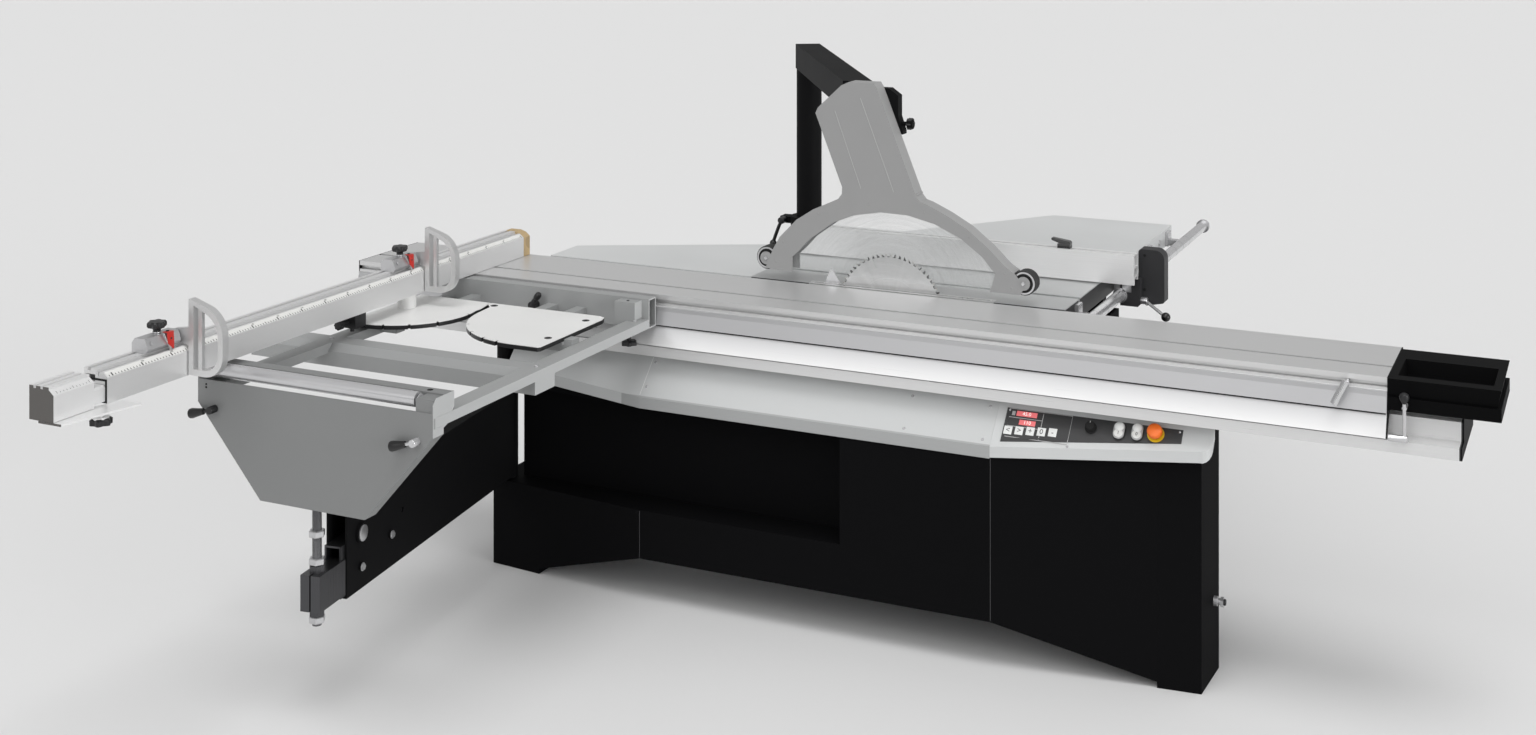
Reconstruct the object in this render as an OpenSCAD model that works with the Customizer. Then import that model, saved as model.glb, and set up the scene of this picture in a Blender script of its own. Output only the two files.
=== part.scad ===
// Sliding table panel saw. Millimetres, +Z up, X along the carriage travel, +Y towards the rip side.
// Inside the modules the blade plane is y = 0 and the blade axis is x = 0.
// The origin of the finished model is on the floor under the middle of its box.

/* [Tables] */
// Height of every table top above the floor
table_h = 900; // [860:1:920]
// Left edge of the main table from the blade axis
main_left = 461; // [420:1:520]
// Right edge of the main table from the blade axis
main_right = 549; // [500:1:600]
// Rear edge of the main table from the blade plane
main_rear = 590; // [540:1:660]
// Near edge of the fixed tables from the blade plane
main_near = 16; // [14:1:20]
// Depth of the rim under the main cast table
main_rim = 60; // [45:1:60]
// Thickness of the main cast plate
main_plate = 16; // [12:1:20]
// Left edge of the left extension from the blade axis
left_ext = 1198; // [1000:1:1300]
// Depth of the left extension at its outer end
left_ext_depth = 155; // [120:1:220]
// Depth of the left extension where it meets the main table
left_ext_root = 530; // [480:1:540]
// Rear edge of the rip side extension from the blade plane
rip_ext_rear = 1366; // [1200:1:1500]
// Length of the straight rear edge of the rip side extension
rip_ext_back_l = 432; // [380:1:500]
// Depth of the folded skirt of both extensions
skirt_h = 60; // [45:1:70]
// Sheet thickness of both extensions
ext_sheet = 4; // [3:0.5:6]

/* [Carriage] */
// Length of the sliding carriage
carriage_l = 3200; // [2600:10:3200]
// Middle of the carriage from the blade axis, in the pose shown
carriage_mid = -117; // [-160:1:-80]
// Far edge of the carriage from the blade plane
carriage_far = 32; // [30:1:36]
// Width of the carriage top
carriage_w = 320; // [300:1:330]
// Height of the closed box of the carriage extrusion
carriage_box = 48; // [44:1:52]
// Thickness of the carriage extrusion walls
carriage_wall = 6; // [4:0.5:8]
// Width of the groove in the carriage top
top_groove_w = 12; // [8:1:14]
// How far the near skirt leans out at its foot
skirt_lean = 33; // [28:1:36]
// Thickness of each end plate
end_plate = 3; // [2:0.5:5]
// Length of the grip tray at the right end
tray_l = 267; // [200:1:300]
// Height of the grip tray
tray_h = 79; // [70:1:79]

/* [Fixed beam] */
// Length of the fixed beam
beam_l = 3200; // [2800:10:3300]
// Right end of the fixed beam from the blade axis
beam_right = 1660; // [1600:1:1700]
// Height of the lower beam box
beam_box = 32; // [28:1:40]
// Height of the upper beam box
beam_rail_box = 48; // [40:1:48]
// Diameter of the hardened guide rods
guide_rod_d = 16; // [14:1:18]

/* [Cabinet] */
// Cabinet front from the blade plane
cabinet_front = 413; // [405:1:420]
// Height of the plinth under the arm recess
plinth_h = 266; // [240:1:290]
// Height of the recess ceiling
recess_top = 571; // [560:1:571]
// Recess back from the blade plane
recess_back = 290; // [280:1:296]
// Right end of the recess from the blade axis
recess_right = 8; // [0:1:30]
// Height of the lower front edge between the feet
cabinet_clear = 124; // [100:1:130]
// Height of the notch beside each foot
foot_notch = 16; // [8:1:24]
// Rear wall of the cabinet from the blade plane
cabinet_rear = 560; // [540:1:580]
// Half width of the cabinet behind the carriage
cabinet_half = 560; // [552:1:600]
// Wall of the cabinet
cabinet_wall = 8; // [6:1:10]
// Radius of the dust outlet at the rear
dust_r = 60; // [50:1:70]
// How far the dust outlet stands out of the rear wall
dust_out = 50; // [40:1:70]

/* [Fascia] */
// Height of the fascia edge at the cabinet front
fascia_low = 609; // [606:1:612]
// Rise of the fascia for each unit of depth
fascia_slope = 1.054; // [1:0.002:1.06]
// Sheet thickness of the fascia, measured upright
fascia_t = 4; // [3:0.5:5]
// Height of the lip under the fascia edge
fascia_lip = 33; // [28:1:36]
// Height of the control housing, measured upright
housing_t = 30; // [26:1:34]
// Right end of the control housing from the blade axis
housing_right = 1045; // [1035:1:1060]

/* [Blade] */
// Diameter of the main blade
blade_d = 350; // [315:1:350]
// Body thickness of the main blade
blade_t = 2.4; // [2:0.1:3]
// Cutting width of the main blade
blade_kerf = 3.4; // [3:0.1:4]
// Number of teeth of the main blade
blade_teeth = 72; // [48:1:84]
// Height of the blade above the table, in the pose shown
blade_up = 110; // [90:1:112]
// Diameter of the arbor
arbor_d = 30; // [25:1:32]
// Diameter of the arbor flanges
flange_d = 72; // [60:1:74]
// Diameter of the scoring blade
score_d = 120; // [110:1:125]
// Scoring axis from the blade axis
score_x = 245; // [243:1:255]
// Number of teeth of the scoring blade
score_teeth = 24; // [20:1:28]
// Thickness of the riving knife
knife_t = 2.8; // [2.5:0.1:3]
// Diameter of the pulley on the arbor
arbor_pulley_d = 60; // [50:1:64]
// Diameter of the pulley on the motor
motor_pulley_d = 90; // [80:1:100]
// Distance from the arbor down to the motor shaft
belt_l = 250; // [230:1:270]

/* [Guard] */
// Thickness of the hood
hood_w = 58; // [54:1:59]
// Wall of the hood
hood_wall = 3; // [2:0.5:4]
// Height of the hood rim above the table
hood_gap = 32; // [32:1:40]
// Diameter of the hood rollers
hood_roller_d = 72; // [64:1:76]
// Width of the hood rollers
hood_roller_w = 44; // [36:1:46]
// Height of the hood above the table
hood_h = 628; // [600:1:640]
// Diameter of the guard post
post_d = 93; // [80:1:100]
// Guard post from the blade axis, along the machine
post_x = -733; // [-760:1:-700]
// Guard post from the blade plane
post_y = 1042; // [1000:1:1080]
// Side of the square guard tube
tube_w = 90; // [80:1:100]
// Height of the guard tube above the table
tube_top = 620; // [600:1:626]
// Turn of the guard tube from the machine axis
tube_turn = 31.6; // [28:0.1:34]

/* [Outrigger] */
// Left side of the outrigger from the blade axis
out_left = -1353; // [-1380:1:-1340]
// Right side of the outrigger from the blade axis
out_right = -610; // [-640:1:-560]
// Outer face of the end panel from the blade plane
panel_y = 1500; // [1400:1:1520]
// Upper edge of the end panel below the table top
panel_top = 50; // [46:1:60]
// Lower edge of the end panel above the floor
panel_low = 560; // [560:1:600]
// Thickness of the end panel sheet
panel_t = 4; // [3:0.5:5]
// Diameter of the outrigger roller
out_roller_d = 38; // [32:1:40]
// Height of the rail tube along the carriage
inner_rail_h = 87; // [80:1:90]
// Width of the flat side rails
side_rail_w = 55; // [45:1:60]
// Thickness of the flat side rails
side_rail_t = 26; // [20:1:28]
// Thickness of the angle plates
angle_plate_t = 8; // [6:1:10]

/* [Crosscut fence] */
// Length of the main crosscut fence
fence_l = 1830; // [1700:10:1840]
// Width of the crosscut fence
fence_w = 75; // [70:1:80]
// Height of the crosscut fence
fence_h = 80; // [76:1:90]
// Right end of the crosscut fence from the blade plane
fence_end = 75; // [72:1:80]
// Front face of the crosscut fence from the blade axis
fence_face = -1265; // [-1275:1:-1255]
// Fence pivot from the blade plane
fence_pivot_y = 665; // [655:1:675]
// Visible length of the fence extension, in the pose shown
ext_show = 165; // [120:1:200]
// Length of the fence extension
ext_l = 1300; // [1200:10:1340]
// Near stop from the blade plane
stop_near_y = 1630; // [1600:1:1650]
// Far stop from the blade plane
stop_far_y = 623; // [610:1:640]
// Reach of the stop flag out of the fence face
flag_reach = 114; // [100:1:120]
// Height of the stop flag
flag_h = 192; // [180:1:200]

/* [Support arm] */
// Arm pivot from the blade axis
arm_x = -1170; // [-1180:1:-1165]
// Arm pivot from the blade plane
arm_y = 315; // [310:1:320]
// Turn of the arm from the machine axis, in the pose shown
arm_turn = 8; // [7:0.1:9]
// Length of the arm box from its pivot
arm_l = 1040; // [1000:1:1060]
// Width of the arm box
arm_w = 60; // [54:1:64]
// Lower edge of the arm above the floor
arm_low = 275; // [270:1:292]
// Height of the arm box
arm_h = 268; // [240:1:270]
// Diameter of the arm hub
arm_hub_d = 66; // [60:1:70]
// Diameter of the arm pivot post
arm_post_d = 40; // [36:1:44]
// Diameter of the height spindle
spindle_d = 24; // [20:1:26]

/* [Rip fence] */
// Rip rail from the blade axis
rail_x = 605; // [600:1:615]
// Rip rail below the table top
rail_drop = 40; // [38:1:44]
// Diameter of the rip rail
rail_d = 35; // [30:1:38]
// Rear end of the rip rail from the blade plane
rail_rear = 1600; // [1500:1:1640]
// Rip fence face from the blade plane, in the pose shown
rip_y = 350; // [340:1:380]
// Length of the rip fence profile
rip_l = 1123; // [1000:1:1160]
// Height of the rip fence profile
rip_h = 91; // [80:1:96]
// Width of the rip fence profile
rip_w = 50; // [44:1:56]

/* [Controls] */
// Diameter of the emergency stop cap
estop_d = 38; // [34:1:40]
// Diameter of the selector knob
selector_d = 28; // [24:1:32]
// Width of the start and stop buttons
button_w = 34; // [30:1:36]
// Travel of the push buttons
button_travel = 4; // [3:0.5:5]

/* [Hidden] */
$fn = 48;
// Running gap of a shaft in a bore, on the radius
fit = 0.05;
// Gap between two pieces that seat on each other
seat = 0.3;
// Gap between two pieces that slide past each other
slide = 1.5;
// Amount by which a cut runs past a face
cut = 1;

carriage_left = carriage_mid - carriage_l / 2;
carriage_right = carriage_mid + carriage_l / 2;
near_y = -carriage_far - carriage_w;
lip_y = near_y - 5;
foot_y = near_y - skirt_lean;
box_z = table_h - carriage_box;
skirt_z = table_h - 146;
beam_low = table_h - 180;
beam_mid = beam_low + beam_box;
beam_rail_top = beam_mid + beam_rail_box;
beam_left = beam_right - beam_l;
rod_z = beam_rail_top + guide_rod_d / 2 - cut;
rod_top = rod_z + guide_rod_d / 2;
rod_far = -carriage_far - 58;
rod_near = near_y + 62;
wing_top = beam_low - 20;
body_top = table_h - 120;
front_y = -cabinet_front;
left_end = -1198;
plinth_left = -1125;
left_foot = -1018;
right_foot = 896;
right_end = 1020;
left_bend = -640;
right_bend = 454;
fascia_y = front_y - 4;
fascia_top_y = -321;
fascia_angle = atan(fascia_slope);
score_z = table_h + 2 - score_d / 2;
arbor_z = table_h + blade_up - blade_d / 2;
motor_z = arbor_z - belt_l;
tray_right = carriage_right + end_plate + tray_l;
fence_y0 = -fence_end - fence_l;
fence_tip = fence_y0 - ext_show - end_plate;
fence_back = fence_face - fence_w;
fence_z = table_h + 1;
pivot_x = fence_face - 35;
pivot_y = -fence_pivot_y;
arm_top = arm_low + arm_h;
rail_z = table_h - rail_drop;
rail_end_y = rail_rear + 5;
plate_z = table_h - 48;
rail_top_z = table_h - 63;
inner_front = near_y - 58;
inner_back = near_y - 15;
panel_side_z = panel_low + 230;
mid_x = (carriage_left - end_plate + tray_right) / 2;
mid_y = (fence_tip + rail_end_y) / 2;

// Moves the whole saw onto its origin
module moved() {
  translate([-mid_x, -mid_y, 0]) children();
}

// A block given by its two corners
module up(z) {
  translate([0, 0, z]) children();
}

module block(a, b) {
  translate(a) cube(b - a);
}

// An outline in Y and Z, drawn out along X
module along_x(x0, x1) {
  translate([x0, 0, 0]) rotate([90, 0, 90]) linear_extrude(x1 - x0) children();
}

// An outline in X and Z, drawn out along Y
module along_y(y0, y1) {
  translate([0, y1, 0]) rotate([90, 0, 0]) linear_extrude(y1 - y0) children();
}

module rod_x(x0, x1, y, z, d) {
  translate([x0, y, z]) rotate([0, 90, 0]) cylinder(h = x1 - x0, d = d);
}

module rod_y(y0, y1, x, z, d) {
  translate([x, y0, z]) rotate([-90, 0, 0]) cylinder(h = y1 - y0, d = d);
}

module rod_z(z0, z1, x, y, d) {
  translate([x, y, z0]) cylinder(h = z1 - z0, d = d);
}

// Height of the fascia plane at a depth y
function fascia_z(y) = fascia_low + fascia_slope * (y - front_y);

// A slab parallel to the fascia plane, between two upright offsets
module fascia_slab(x0, x1, low, high) {
  ya = front_y - 60;
  yb = fascia_top_y + 60;
  along_x(x0, x1)
    polygon([[ya, fascia_z(ya) + low], [yb, fascia_z(yb) + low],
        [yb, fascia_z(yb) + high], [ya, fascia_z(ya) + high]]);
}

// Local frame on the fascia plane: y runs up the slope, z points out of it
module on_fascia(x, s) {
  translate([x, front_y, fascia_low]) rotate([fascia_angle, 0, 0]) translate([0, s, 0]) children();
}

// Outline of a blade with n teeth, tip radius r
module tooth_ring(r, n, depth) {
  step = 360 / n;
  polygon([for (i = [0:n - 1]) each [
    [r * cos(i * step), r * sin(i * step)],
    [(r - depth) * cos((i + 0.16) * step), (r - depth) * sin((i + 0.16) * step)],
    [(r - 0.55 * depth) * cos((i + 0.62) * step), (r - 0.55 * depth) * sin((i + 0.62) * step)]
  ]]);
}

// CABINET

module cabinet_plan() {
  polygon([[left_end, front_y + 60], [left_foot, front_y + 41], [left_bend, front_y],
        [right_bend, front_y], [right_foot, front_y + 71], [right_end - 8, front_y + 82],
        [right_end, -147], [cabinet_half, 150], [cabinet_half, cabinet_rear],
        [-cabinet_half, cabinet_rear], [-cabinet_half, 60], [left_end, -147]]);
}

module cabinet_front_view() {
  polygon([[left_end, 0], [left_foot, 0], [left_foot, foot_notch], [left_bend, cabinet_clear - 2],
        [right_bend, cabinet_clear], [right_foot, foot_notch], [right_foot, 0], [right_end, 0],
        [right_end, body_top], [left_end, body_top]]);
}

// Inside of the sheet metal box, one wall behind every face
module cabinet_hollow() {
  w = cabinet_wall;
  back = cabinet_rear;
  top = body_top;
  difference() {
    up(cabinet_clear + w) linear_extrude(top - cabinet_clear - 2 * w) offset(delta = -w) cabinet_plan();
    block([left_end, front_y, wing_top - w], [right_end, w - 40, top]);
    block([left_end, -150 - w, wing_top - w], [w - cabinet_half, back, top]);
    block([cabinet_half - w, -150 - w, wing_top - w], [right_end, back, top]);
    block([left_end, front_y, plinth_h - w], [plinth_left + w, back, top]);
    block([plinth_left, front_y, plinth_h - w], [recess_right + w, w - recess_back, recess_top + w]);
    fascia_slab(left_end, right_bend, -fascia_t - seat - w, 200);
    fascia_slab(right_bend, right_end, -housing_t - seat - w, 200);
    for (x = [-cabinet_half, cabinet_half - w]) block([x, -recess_back, 0], [x + w, back, top]);
  }
}

module base_cabinet() {
  w = cabinet_wall;
  floor_z = cabinet_clear + w;
  foot = 90;
  color("#141417") {
    difference() {
      intersection() {
        linear_extrude(body_top) cabinet_plan();
        along_y(front_y - cut, cabinet_rear + cut) cabinet_front_view();
      }
      // The wings under the fixed beam are lower than the body
      block([left_end - cut, front_y - cut, wing_top], [right_end + cut, -40, body_top + cut]);
      block([left_end - cut, -147 - cut, wing_top], [-cabinet_half, cabinet_rear, body_top + cut]);
      block([cabinet_half, -147 - cut, wing_top], [right_end + cut, cabinet_rear, body_top + cut]);
      // Room for the support arm
      block([left_end - cut, front_y - cut, plinth_h], [plinth_left, cabinet_rear, body_top + cut]);
      block([plinth_left - cut, front_y - cut, plinth_h], [recess_right, -recess_back, recess_top]);
      // The front is cut back under the fascia and the control housing
      fascia_slab(left_end - cut, right_bend, -fascia_t - seat, 200);
      fascia_slab(right_bend - cut, right_end + cut, -housing_t - seat, 200);
      // Room for the saw unit, open to the top
      block([-cabinet_half + w, -recess_back + w, floor_z], [cabinet_half - w, cabinet_rear - w, body_top + cut]);
      cabinet_hollow();
      // Dust outlet
      rod_y(cabinet_rear - w - cut, cabinet_rear + cut, -400, 400, 2 * (dust_r + 1));
    }
    for (side = [-1, 1])
      block([side * (cabinet_half - foot / 2) - foot / 2, cabinet_rear - foot, 0],
        [side * (cabinet_half - foot / 2) + foot / 2, cabinet_rear, floor_z - w]);
  }
}

module fascia_plan(near, thick) {
  // Lower edge of the fascia seen from above, as a strip of the given thickness
  polygon([[plinth_left, near + 35], [left_bend, near], [right_bend, near],
        [right_bend, near + thick], [left_bend, near + thick], [plinth_left, near + 35 + thick]]);
}

module fascia_band() {
  color("#a8abab") {
    intersection() {
      linear_extrude(table_h) polygon([[plinth_left, fascia_y + 35], [left_bend, fascia_y],
        [right_bend - seat, fascia_y], [right_bend - seat, fascia_top_y], [plinth_left, fascia_top_y]]);
      fascia_slab(plinth_left, right_bend, -fascia_t, 0);
    }
    intersection() {
      linear_extrude(table_h) fascia_plan(fascia_y, 3);
      fascia_slab(plinth_left, right_bend - seat, -fascia_lip, -fascia_t / 2);
    }
  }
}

module housing_plan(inset) {
  r = 26 - inset;
  polygon(concat(
    [[right_bend + inset, fascia_y + inset], [housing_right - 34, fascia_y + 46 + inset]],
    [for (a = [-80:20:0]) [housing_right - inset - r + r * cos(a), fascia_y + 46 + 26 + r * sin(a)]],
    [[housing_right - inset, fascia_top_y - inset], [right_bend + inset, fascia_top_y - inset]]));
}

module control_housing() {
  wall = 3;
  color("#9ea1a1") difference() {
    intersection() {
      linear_extrude(table_h) housing_plan(0);
      fascia_slab(right_bend, housing_right, -housing_t, 0);
    }
    intersection() {
      linear_extrude(table_h) housing_plan(wall);
      fascia_slab(right_bend, housing_right, -housing_t - cut, -wall - 1.5);
    }
    for (p = panel_places) on_fascia(p[0], p[1]) up(-40) cylinder(h = 60, d = stem_d + 2 * fit);
  }
}

// Places of the buttons and the selector on the fascia
start_place = [798, 87];
stop_place = [847, 90];
estop_place = [895, 93];
selector_place = [720, 86];
panel_places = [start_place, stop_place, estop_place, selector_place];
stem_d = 10;
panel_sheet = 1.5;

module control_panel() {
  key = 24;
  color("#0d0d0d") difference() {
    union() {
      // Black front sheet with a slanted lower edge
      on_fascia(0, 0) up(2 * fit) linear_extrude(panel_sheet)
        polygon([[480, 13], [965, 76], [965, 115], [480, 115]]);
      // Frame round the display side
      on_fascia(0, 0) up(panel_sheet) linear_extrude(0.8) difference() {
        polygon([[486, 20], [664, 43], [664, 111], [486, 111]]);
        polygon([[489, 25], [661, 47], [661, 108], [489, 108]]);
      }
      // Two display windows
      on_fascia(509, 93) up(panel_sheet) cube([58, 15, 1]);
      on_fascia(521, 68) up(panel_sheet) cube([46, 15, 1]);
      // Five touch keys
      for (i = [0:4])
        on_fascia(495 + 31 * i - key / 2, 36 + 2.5 * i) up(panel_sheet) cube([key, key, 1]);
    }
    for (p = panel_places) on_fascia(p[0], p[1]) up(-5) cylinder(h = 15, d = stem_d + 2 * fit);
  }
}

// A push button: cap above the panel, stem through it, collar behind it
module push_button(place, d) {
  on_fascia(place[0], place[1]) {
    up(panel_sheet + button_travel + 1) children();
    up(-12) cylinder(h = 12 + panel_sheet + button_travel + 1 + cut / 2, d = stem_d);
    up(-12) cylinder(h = 3, d = d);
  }
}

module rounded_cap(w, l, h, r) {
  linear_extrude(h) hull()
    for (x = [-1, 1], y = [-1, 1]) translate([x * (w / 2 - r), y * (l / 2 - r)]) circle(r, $fn = 24);
}

module start_button() {
  color("#ebedeb") push_button(start_place, 18) rounded_cap(button_w, 48, 9, 7);
}

module stop_button() {
  color("#ebedeb") push_button(stop_place, 18) rounded_cap(button_w, 48, 9, 7);
}

module emergency_stop() {
  color("#e64c14") push_button(estop_place, 18) {
    cylinder(h = 7, d = 26);
    up(7) cylinder(h = 9, d = estop_d);
    up(16) cylinder(h = 4, d1 = estop_d, d2 = estop_d - 10);
  }
}

module selector_knob() {
  color("#0a0a0a") on_fascia(selector_place[0], selector_place[1]) {
    difference() {
      up(panel_sheet + seat) cylinder(h = 18, d = selector_d);
      for (side = [-1, 1])
        translate([side * (selector_d / 2 + 1), 0, panel_sheet + 8]) cube([selector_d * 0.7, selector_d * 2, 24]);
      for (side = [-1, 1])
        translate([side * selector_d * 0.58 - 6, -selector_d, panel_sheet + 8]) cube([12, selector_d * 2, 24]);
    }
    up(-14) cylinder(h = 16, d = stem_d);
  }
}

module cable_gland() {
  y = -205;
  z = 204;
  color("#bfbfc2") difference() {
    union() {
      rod_x(right_end - 1.6, right_end + 9, y, z, 26);
      rod_x(right_end + 9, right_end + 17, y, z, 18);
      translate([right_end + 17, y, z]) rotate([0, 90, 0]) cylinder(h = 8, d = 28, $fn = 6);
    }
    rod_x(right_end + 4, right_end + 30, y, z, 10);
  }
}

// FIXED TABLES

module main_table() {
  x0 = -main_left;
  x1 = main_right;
  z0 = table_h - main_rim;
  slot_l = -264;
  slot_r = 333;
  color("#8c8f91") difference() {
    block([x0, -main_near, z0], [x1, main_rear, table_h]);
    // Pockets between the ribs
    for (c = rib_cells) block([c[0], c[2], z0 - cut], [c[1], c[3], table_h - main_plate]);
    // Seat of the slot insert on its two ledges, open to the carriage
    block([slot_l - seat, -main_near - cut, table_h - insert_t], [slot_r + seat, insert_y + seat, table_h + cut]);
    block([-250, -main_near - cut, z0 - cut], [318, insert_y + seat, table_h + cut]);
    // Slot for the mitre bar
    block([x0 - cut, 130, table_h - 8], [x1 + cut, 150, table_h + cut]);
  }
  color("#8c8f91") for (x = [-guide_x, guide_x])
    difference() {
      rod_z(z0, table_h - main_plate, x, guide_y, 56);
      rod_z(z0 - cut, z0 + 20, x, guide_y, 12);
    }
}

rim = 14;
insert_y = 16;
insert_t = 14;
guide_x = 150;
guide_y = 110;
rib_y = 360;
rib_x = [-290, 400];
rib_cells = [
  [-main_left + rim, rib_x[0] - rim / 2, -main_near + rim, rib_y],
  [rib_x[0] + rim / 2, rib_x[1] - rim / 2, insert_y, rib_y],
  [rib_x[1] + rim / 2, main_right - rim, -main_near + rim, rib_y],
  [-main_left + rim, rib_x[0] - rim / 2, rib_y + rim, main_rear - rim],
  [rib_x[0] + rim / 2, rib_x[1] - rim / 2, rib_y + rim, main_rear - rim],
  [rib_x[1] + rim / 2, main_right - rim, rib_y + rim, main_rear - rim]
];

module slot_insert() {
  t = insert_t;
  color("#b8babd") difference() {
    block([-264, -main_near, table_h - t], [333, insert_y, table_h]);
    block([-250, -5, table_h - t - cut], [318, 5, table_h + cut]);
    for (x = [-257, 325]) rod_z(table_h - t - cut, table_h + cut, x, 0, 5);
    for (x = [-257, 325]) rod_z(table_h - 3, table_h + cut, x, 0, 9);
  }
}

// A sheet table with a folded skirt all round
module sheet_table(outer, inner) {
  difference() {
    up(table_h - skirt_h) linear_extrude(skirt_h) polygon(outer);
    up(table_h - skirt_h - cut) linear_extrude(skirt_h - ext_sheet + cut) polygon(inner);
  }
}

module left_extension() {
  e = ext_sheet;
  join = -main_left - seat;
  rise = (left_ext_root - left_ext_depth) / (left_ext - main_left);
  color("#999c9c") sheet_table(
    [[-left_ext, -main_near], [join, -main_near], [join, left_ext_root], [-left_ext, left_ext_depth]],
    [[-left_ext + e, -main_near + e], [join - e, -main_near + e],
     [join - e, left_ext_root - e * (1 + 1.6 * rise)], [-left_ext + e, left_ext_depth - e * (1 - 0.4 * rise)]]);
}

module rip_extension() {
  e = ext_sheet;
  y0 = main_rear + seat;
  x1 = main_right - 7;
  back_x = x1 - rip_ext_back_l;
  slope = 1.305;
  left_y = rip_ext_rear - (back_x + main_left) * slope;
  corner_y = max(left_y, y0 + 25);
  color("#999c9c") difference() {
    sheet_table(
      [[-main_left, y0], [x1, y0], [x1, rip_ext_rear], [back_x, rip_ext_rear], [-main_left, corner_y]],
      [[-main_left + e, y0 + e], [x1 - e, y0 + e], [x1 - e, rip_ext_rear - e],
       [back_x + e * 0.5, rip_ext_rear - e], [-main_left + e, corner_y - e * 0.5]]);
    // Slots in the right skirt for the rail brackets
    for (y = rail_brackets) if (y > y0)
      for (z = [table_h - 22, table_h - 44]) block([x1 - e - cut, y - 14, z - 4], [x1 + cut, y + 14, z + 4]);
  }
}

// FIXED BEAM

module fixed_beam() {
  lip = foot_y + 6;
  w = 5;
  color("#b2b5b8") {
    along_x(beam_left, beam_right) difference() {
      polygon([[lip, beam_low], [-46, beam_low], [-46, beam_mid], [-58, beam_mid], [-58, beam_rail_top],
        [near_y + 30, beam_rail_top], [near_y + 30, beam_mid], [lip, beam_mid - 2]]);
      // Four long cells
      translate([lip + w, beam_low + w]) square([60, beam_box - 2 * w - 2]);
      translate([lip + w + 60 + w, beam_low + w]) square([-46 - w - (lip + 2 * w + 60), beam_box - 2 * w]);
      translate([near_y + 30 + w, beam_mid + w]) square([120, beam_rail_box - 2 * w]);
      translate([near_y + 30 + 2 * w + 120, beam_mid + w])
        square([-58 - w - (near_y + 30 + 2 * w + 120), beam_rail_box - 2 * w]);
    }
    for (y = [rod_far, rod_near]) rod_x(beam_left, beam_right, y, rod_z, guide_rod_d);
  }
}

module beam_supports() {
  lip = foot_y + 6;
  color("#1a1a1c") {
    // Feet between the cabinet wings and the beam
    for (x = [-1000, -500, 300, 700])
      difference() {
        block([x - 60, -300, wing_top + seat], [x + 60, -160, beam_low - seat]);
        block([x - 40, -280, wing_top - cut], [x + 40, -180, beam_low + cut]);
      }
    // End caps of the beam
    for (side = [0, 1]) {
      x = side == 0 ? beam_left - end_plate - seat : beam_right + seat;
      along_x(x, x + end_plate)
        polygon([[lip, beam_low], [-46, beam_low], [-46, beam_mid], [-58, beam_mid], [-58, rod_top - 2],
        [near_y + 30, rod_top - 2], [near_y + 30, beam_mid], [lip, beam_mid - 2]]);
    }
    // Brackets on the cabinet walls and blocks under the rim of the main table
    for (side = [[-cabinet_half + cabinet_wall + seat, -main_left + 30, -main_left],
        [main_right - 30, cabinet_half - cabinet_wall - seat, main_right - 30]])
      translate([0, 38, 0]) {
        block([side[0], 0, body_top - 40], [side[1], 44, body_top]);
        block([side[2], 0, body_top], [side[2] + 30, 44, table_h - main_rim - seat]);
      }
    for (x = [-main_left + 60, main_right - 60])
      block([x - 22, cabinet_rear - cabinet_wall, body_top + seat], [x + 22, main_rear, table_h - main_rim - seat]);
    // Brackets that carry the left extension
    for (y = [20, 120])
      along_y(y, y + 8) polygon([[-cabinet_half - seat, wing_top + 4], [-cabinet_half - seat, table_h - skirt_h - seat],
        [-left_ext + 60, table_h - skirt_h - seat], [-left_ext + 60, table_h - skirt_h - 20]]);
    // Brackets that carry the rip side extension
    for (x = [-60, 420])
      along_x(x, x + 8) polygon([[cabinet_rear + seat, body_top - 140], [cabinet_rear + seat, table_h - skirt_h - seat],
        [rip_ext_rear - 140, table_h - skirt_h - seat], [rip_ext_rear - 140, table_h - skirt_h - 24]]);
  }
}

module arm_post() {
  color("#1f1f21") {
    rod_z(plinth_h, beam_low - 16, arm_x, -arm_y, arm_post_d);
    // Flange on the plinth and plate under the beam
    rod_z(beam_low - 16, beam_low - seat, arm_x, -arm_y, arm_hub_d);
    block([arm_x - 24, -arm_y, beam_low - 16], [arm_x + 80, -arm_y + 130, beam_low - seat]);
  }
}

// SAW UNIT

module saw_frame() {
  inner = cabinet_half - cabinet_wall;
  low = 200;
  color("#595e66") {
    difference() {
      union() {
        block([-inner, guide_y - 50, low], [inner, guide_y + 50, low + 40]);
        for (x = [-guide_x, guide_x]) rod_z(low, table_h - main_rim, x, guide_y, 40);
      }
      block([-inner + 60, guide_y - 42, low - cut], [inner - 60, guide_y + 42, low + 12]);
      rod_z(low - cut, low + 41, 0, guide_y, lift_rod_d + 2 * fit);
    }
    // Housing of the lift drive
    difference() {
      union() {
        block([-60, guide_y - 45, low + 40], [60, guide_y + 45, low + 90]);
        rod_z(low + 90, low + 130, 0, guide_y, 50);
      }
      rod_z(low + 39, low + 131, 0, guide_y, lift_rod_d + 2 * fit);
    }
    // Bracket and bearing of the scoring spindle
    difference() {
      union() {
        block([score_x - 12, guide_y - 46, low + 40], [score_x + 12, guide_y - 20, score_z]);
        rod_y(12, guide_y + 30, score_x, score_z, 40);
      }
      rod_y(12 - cut, guide_y + 30 + cut, score_x, score_z, 2 * (score_shaft_r + fit));
    }
  }
}

score_shaft_r = 9;
saddle_low = 520;
lift_rod_d = 24;
saddle_h = 240;
bush_w = 60;
housing_d = 64;

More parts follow.
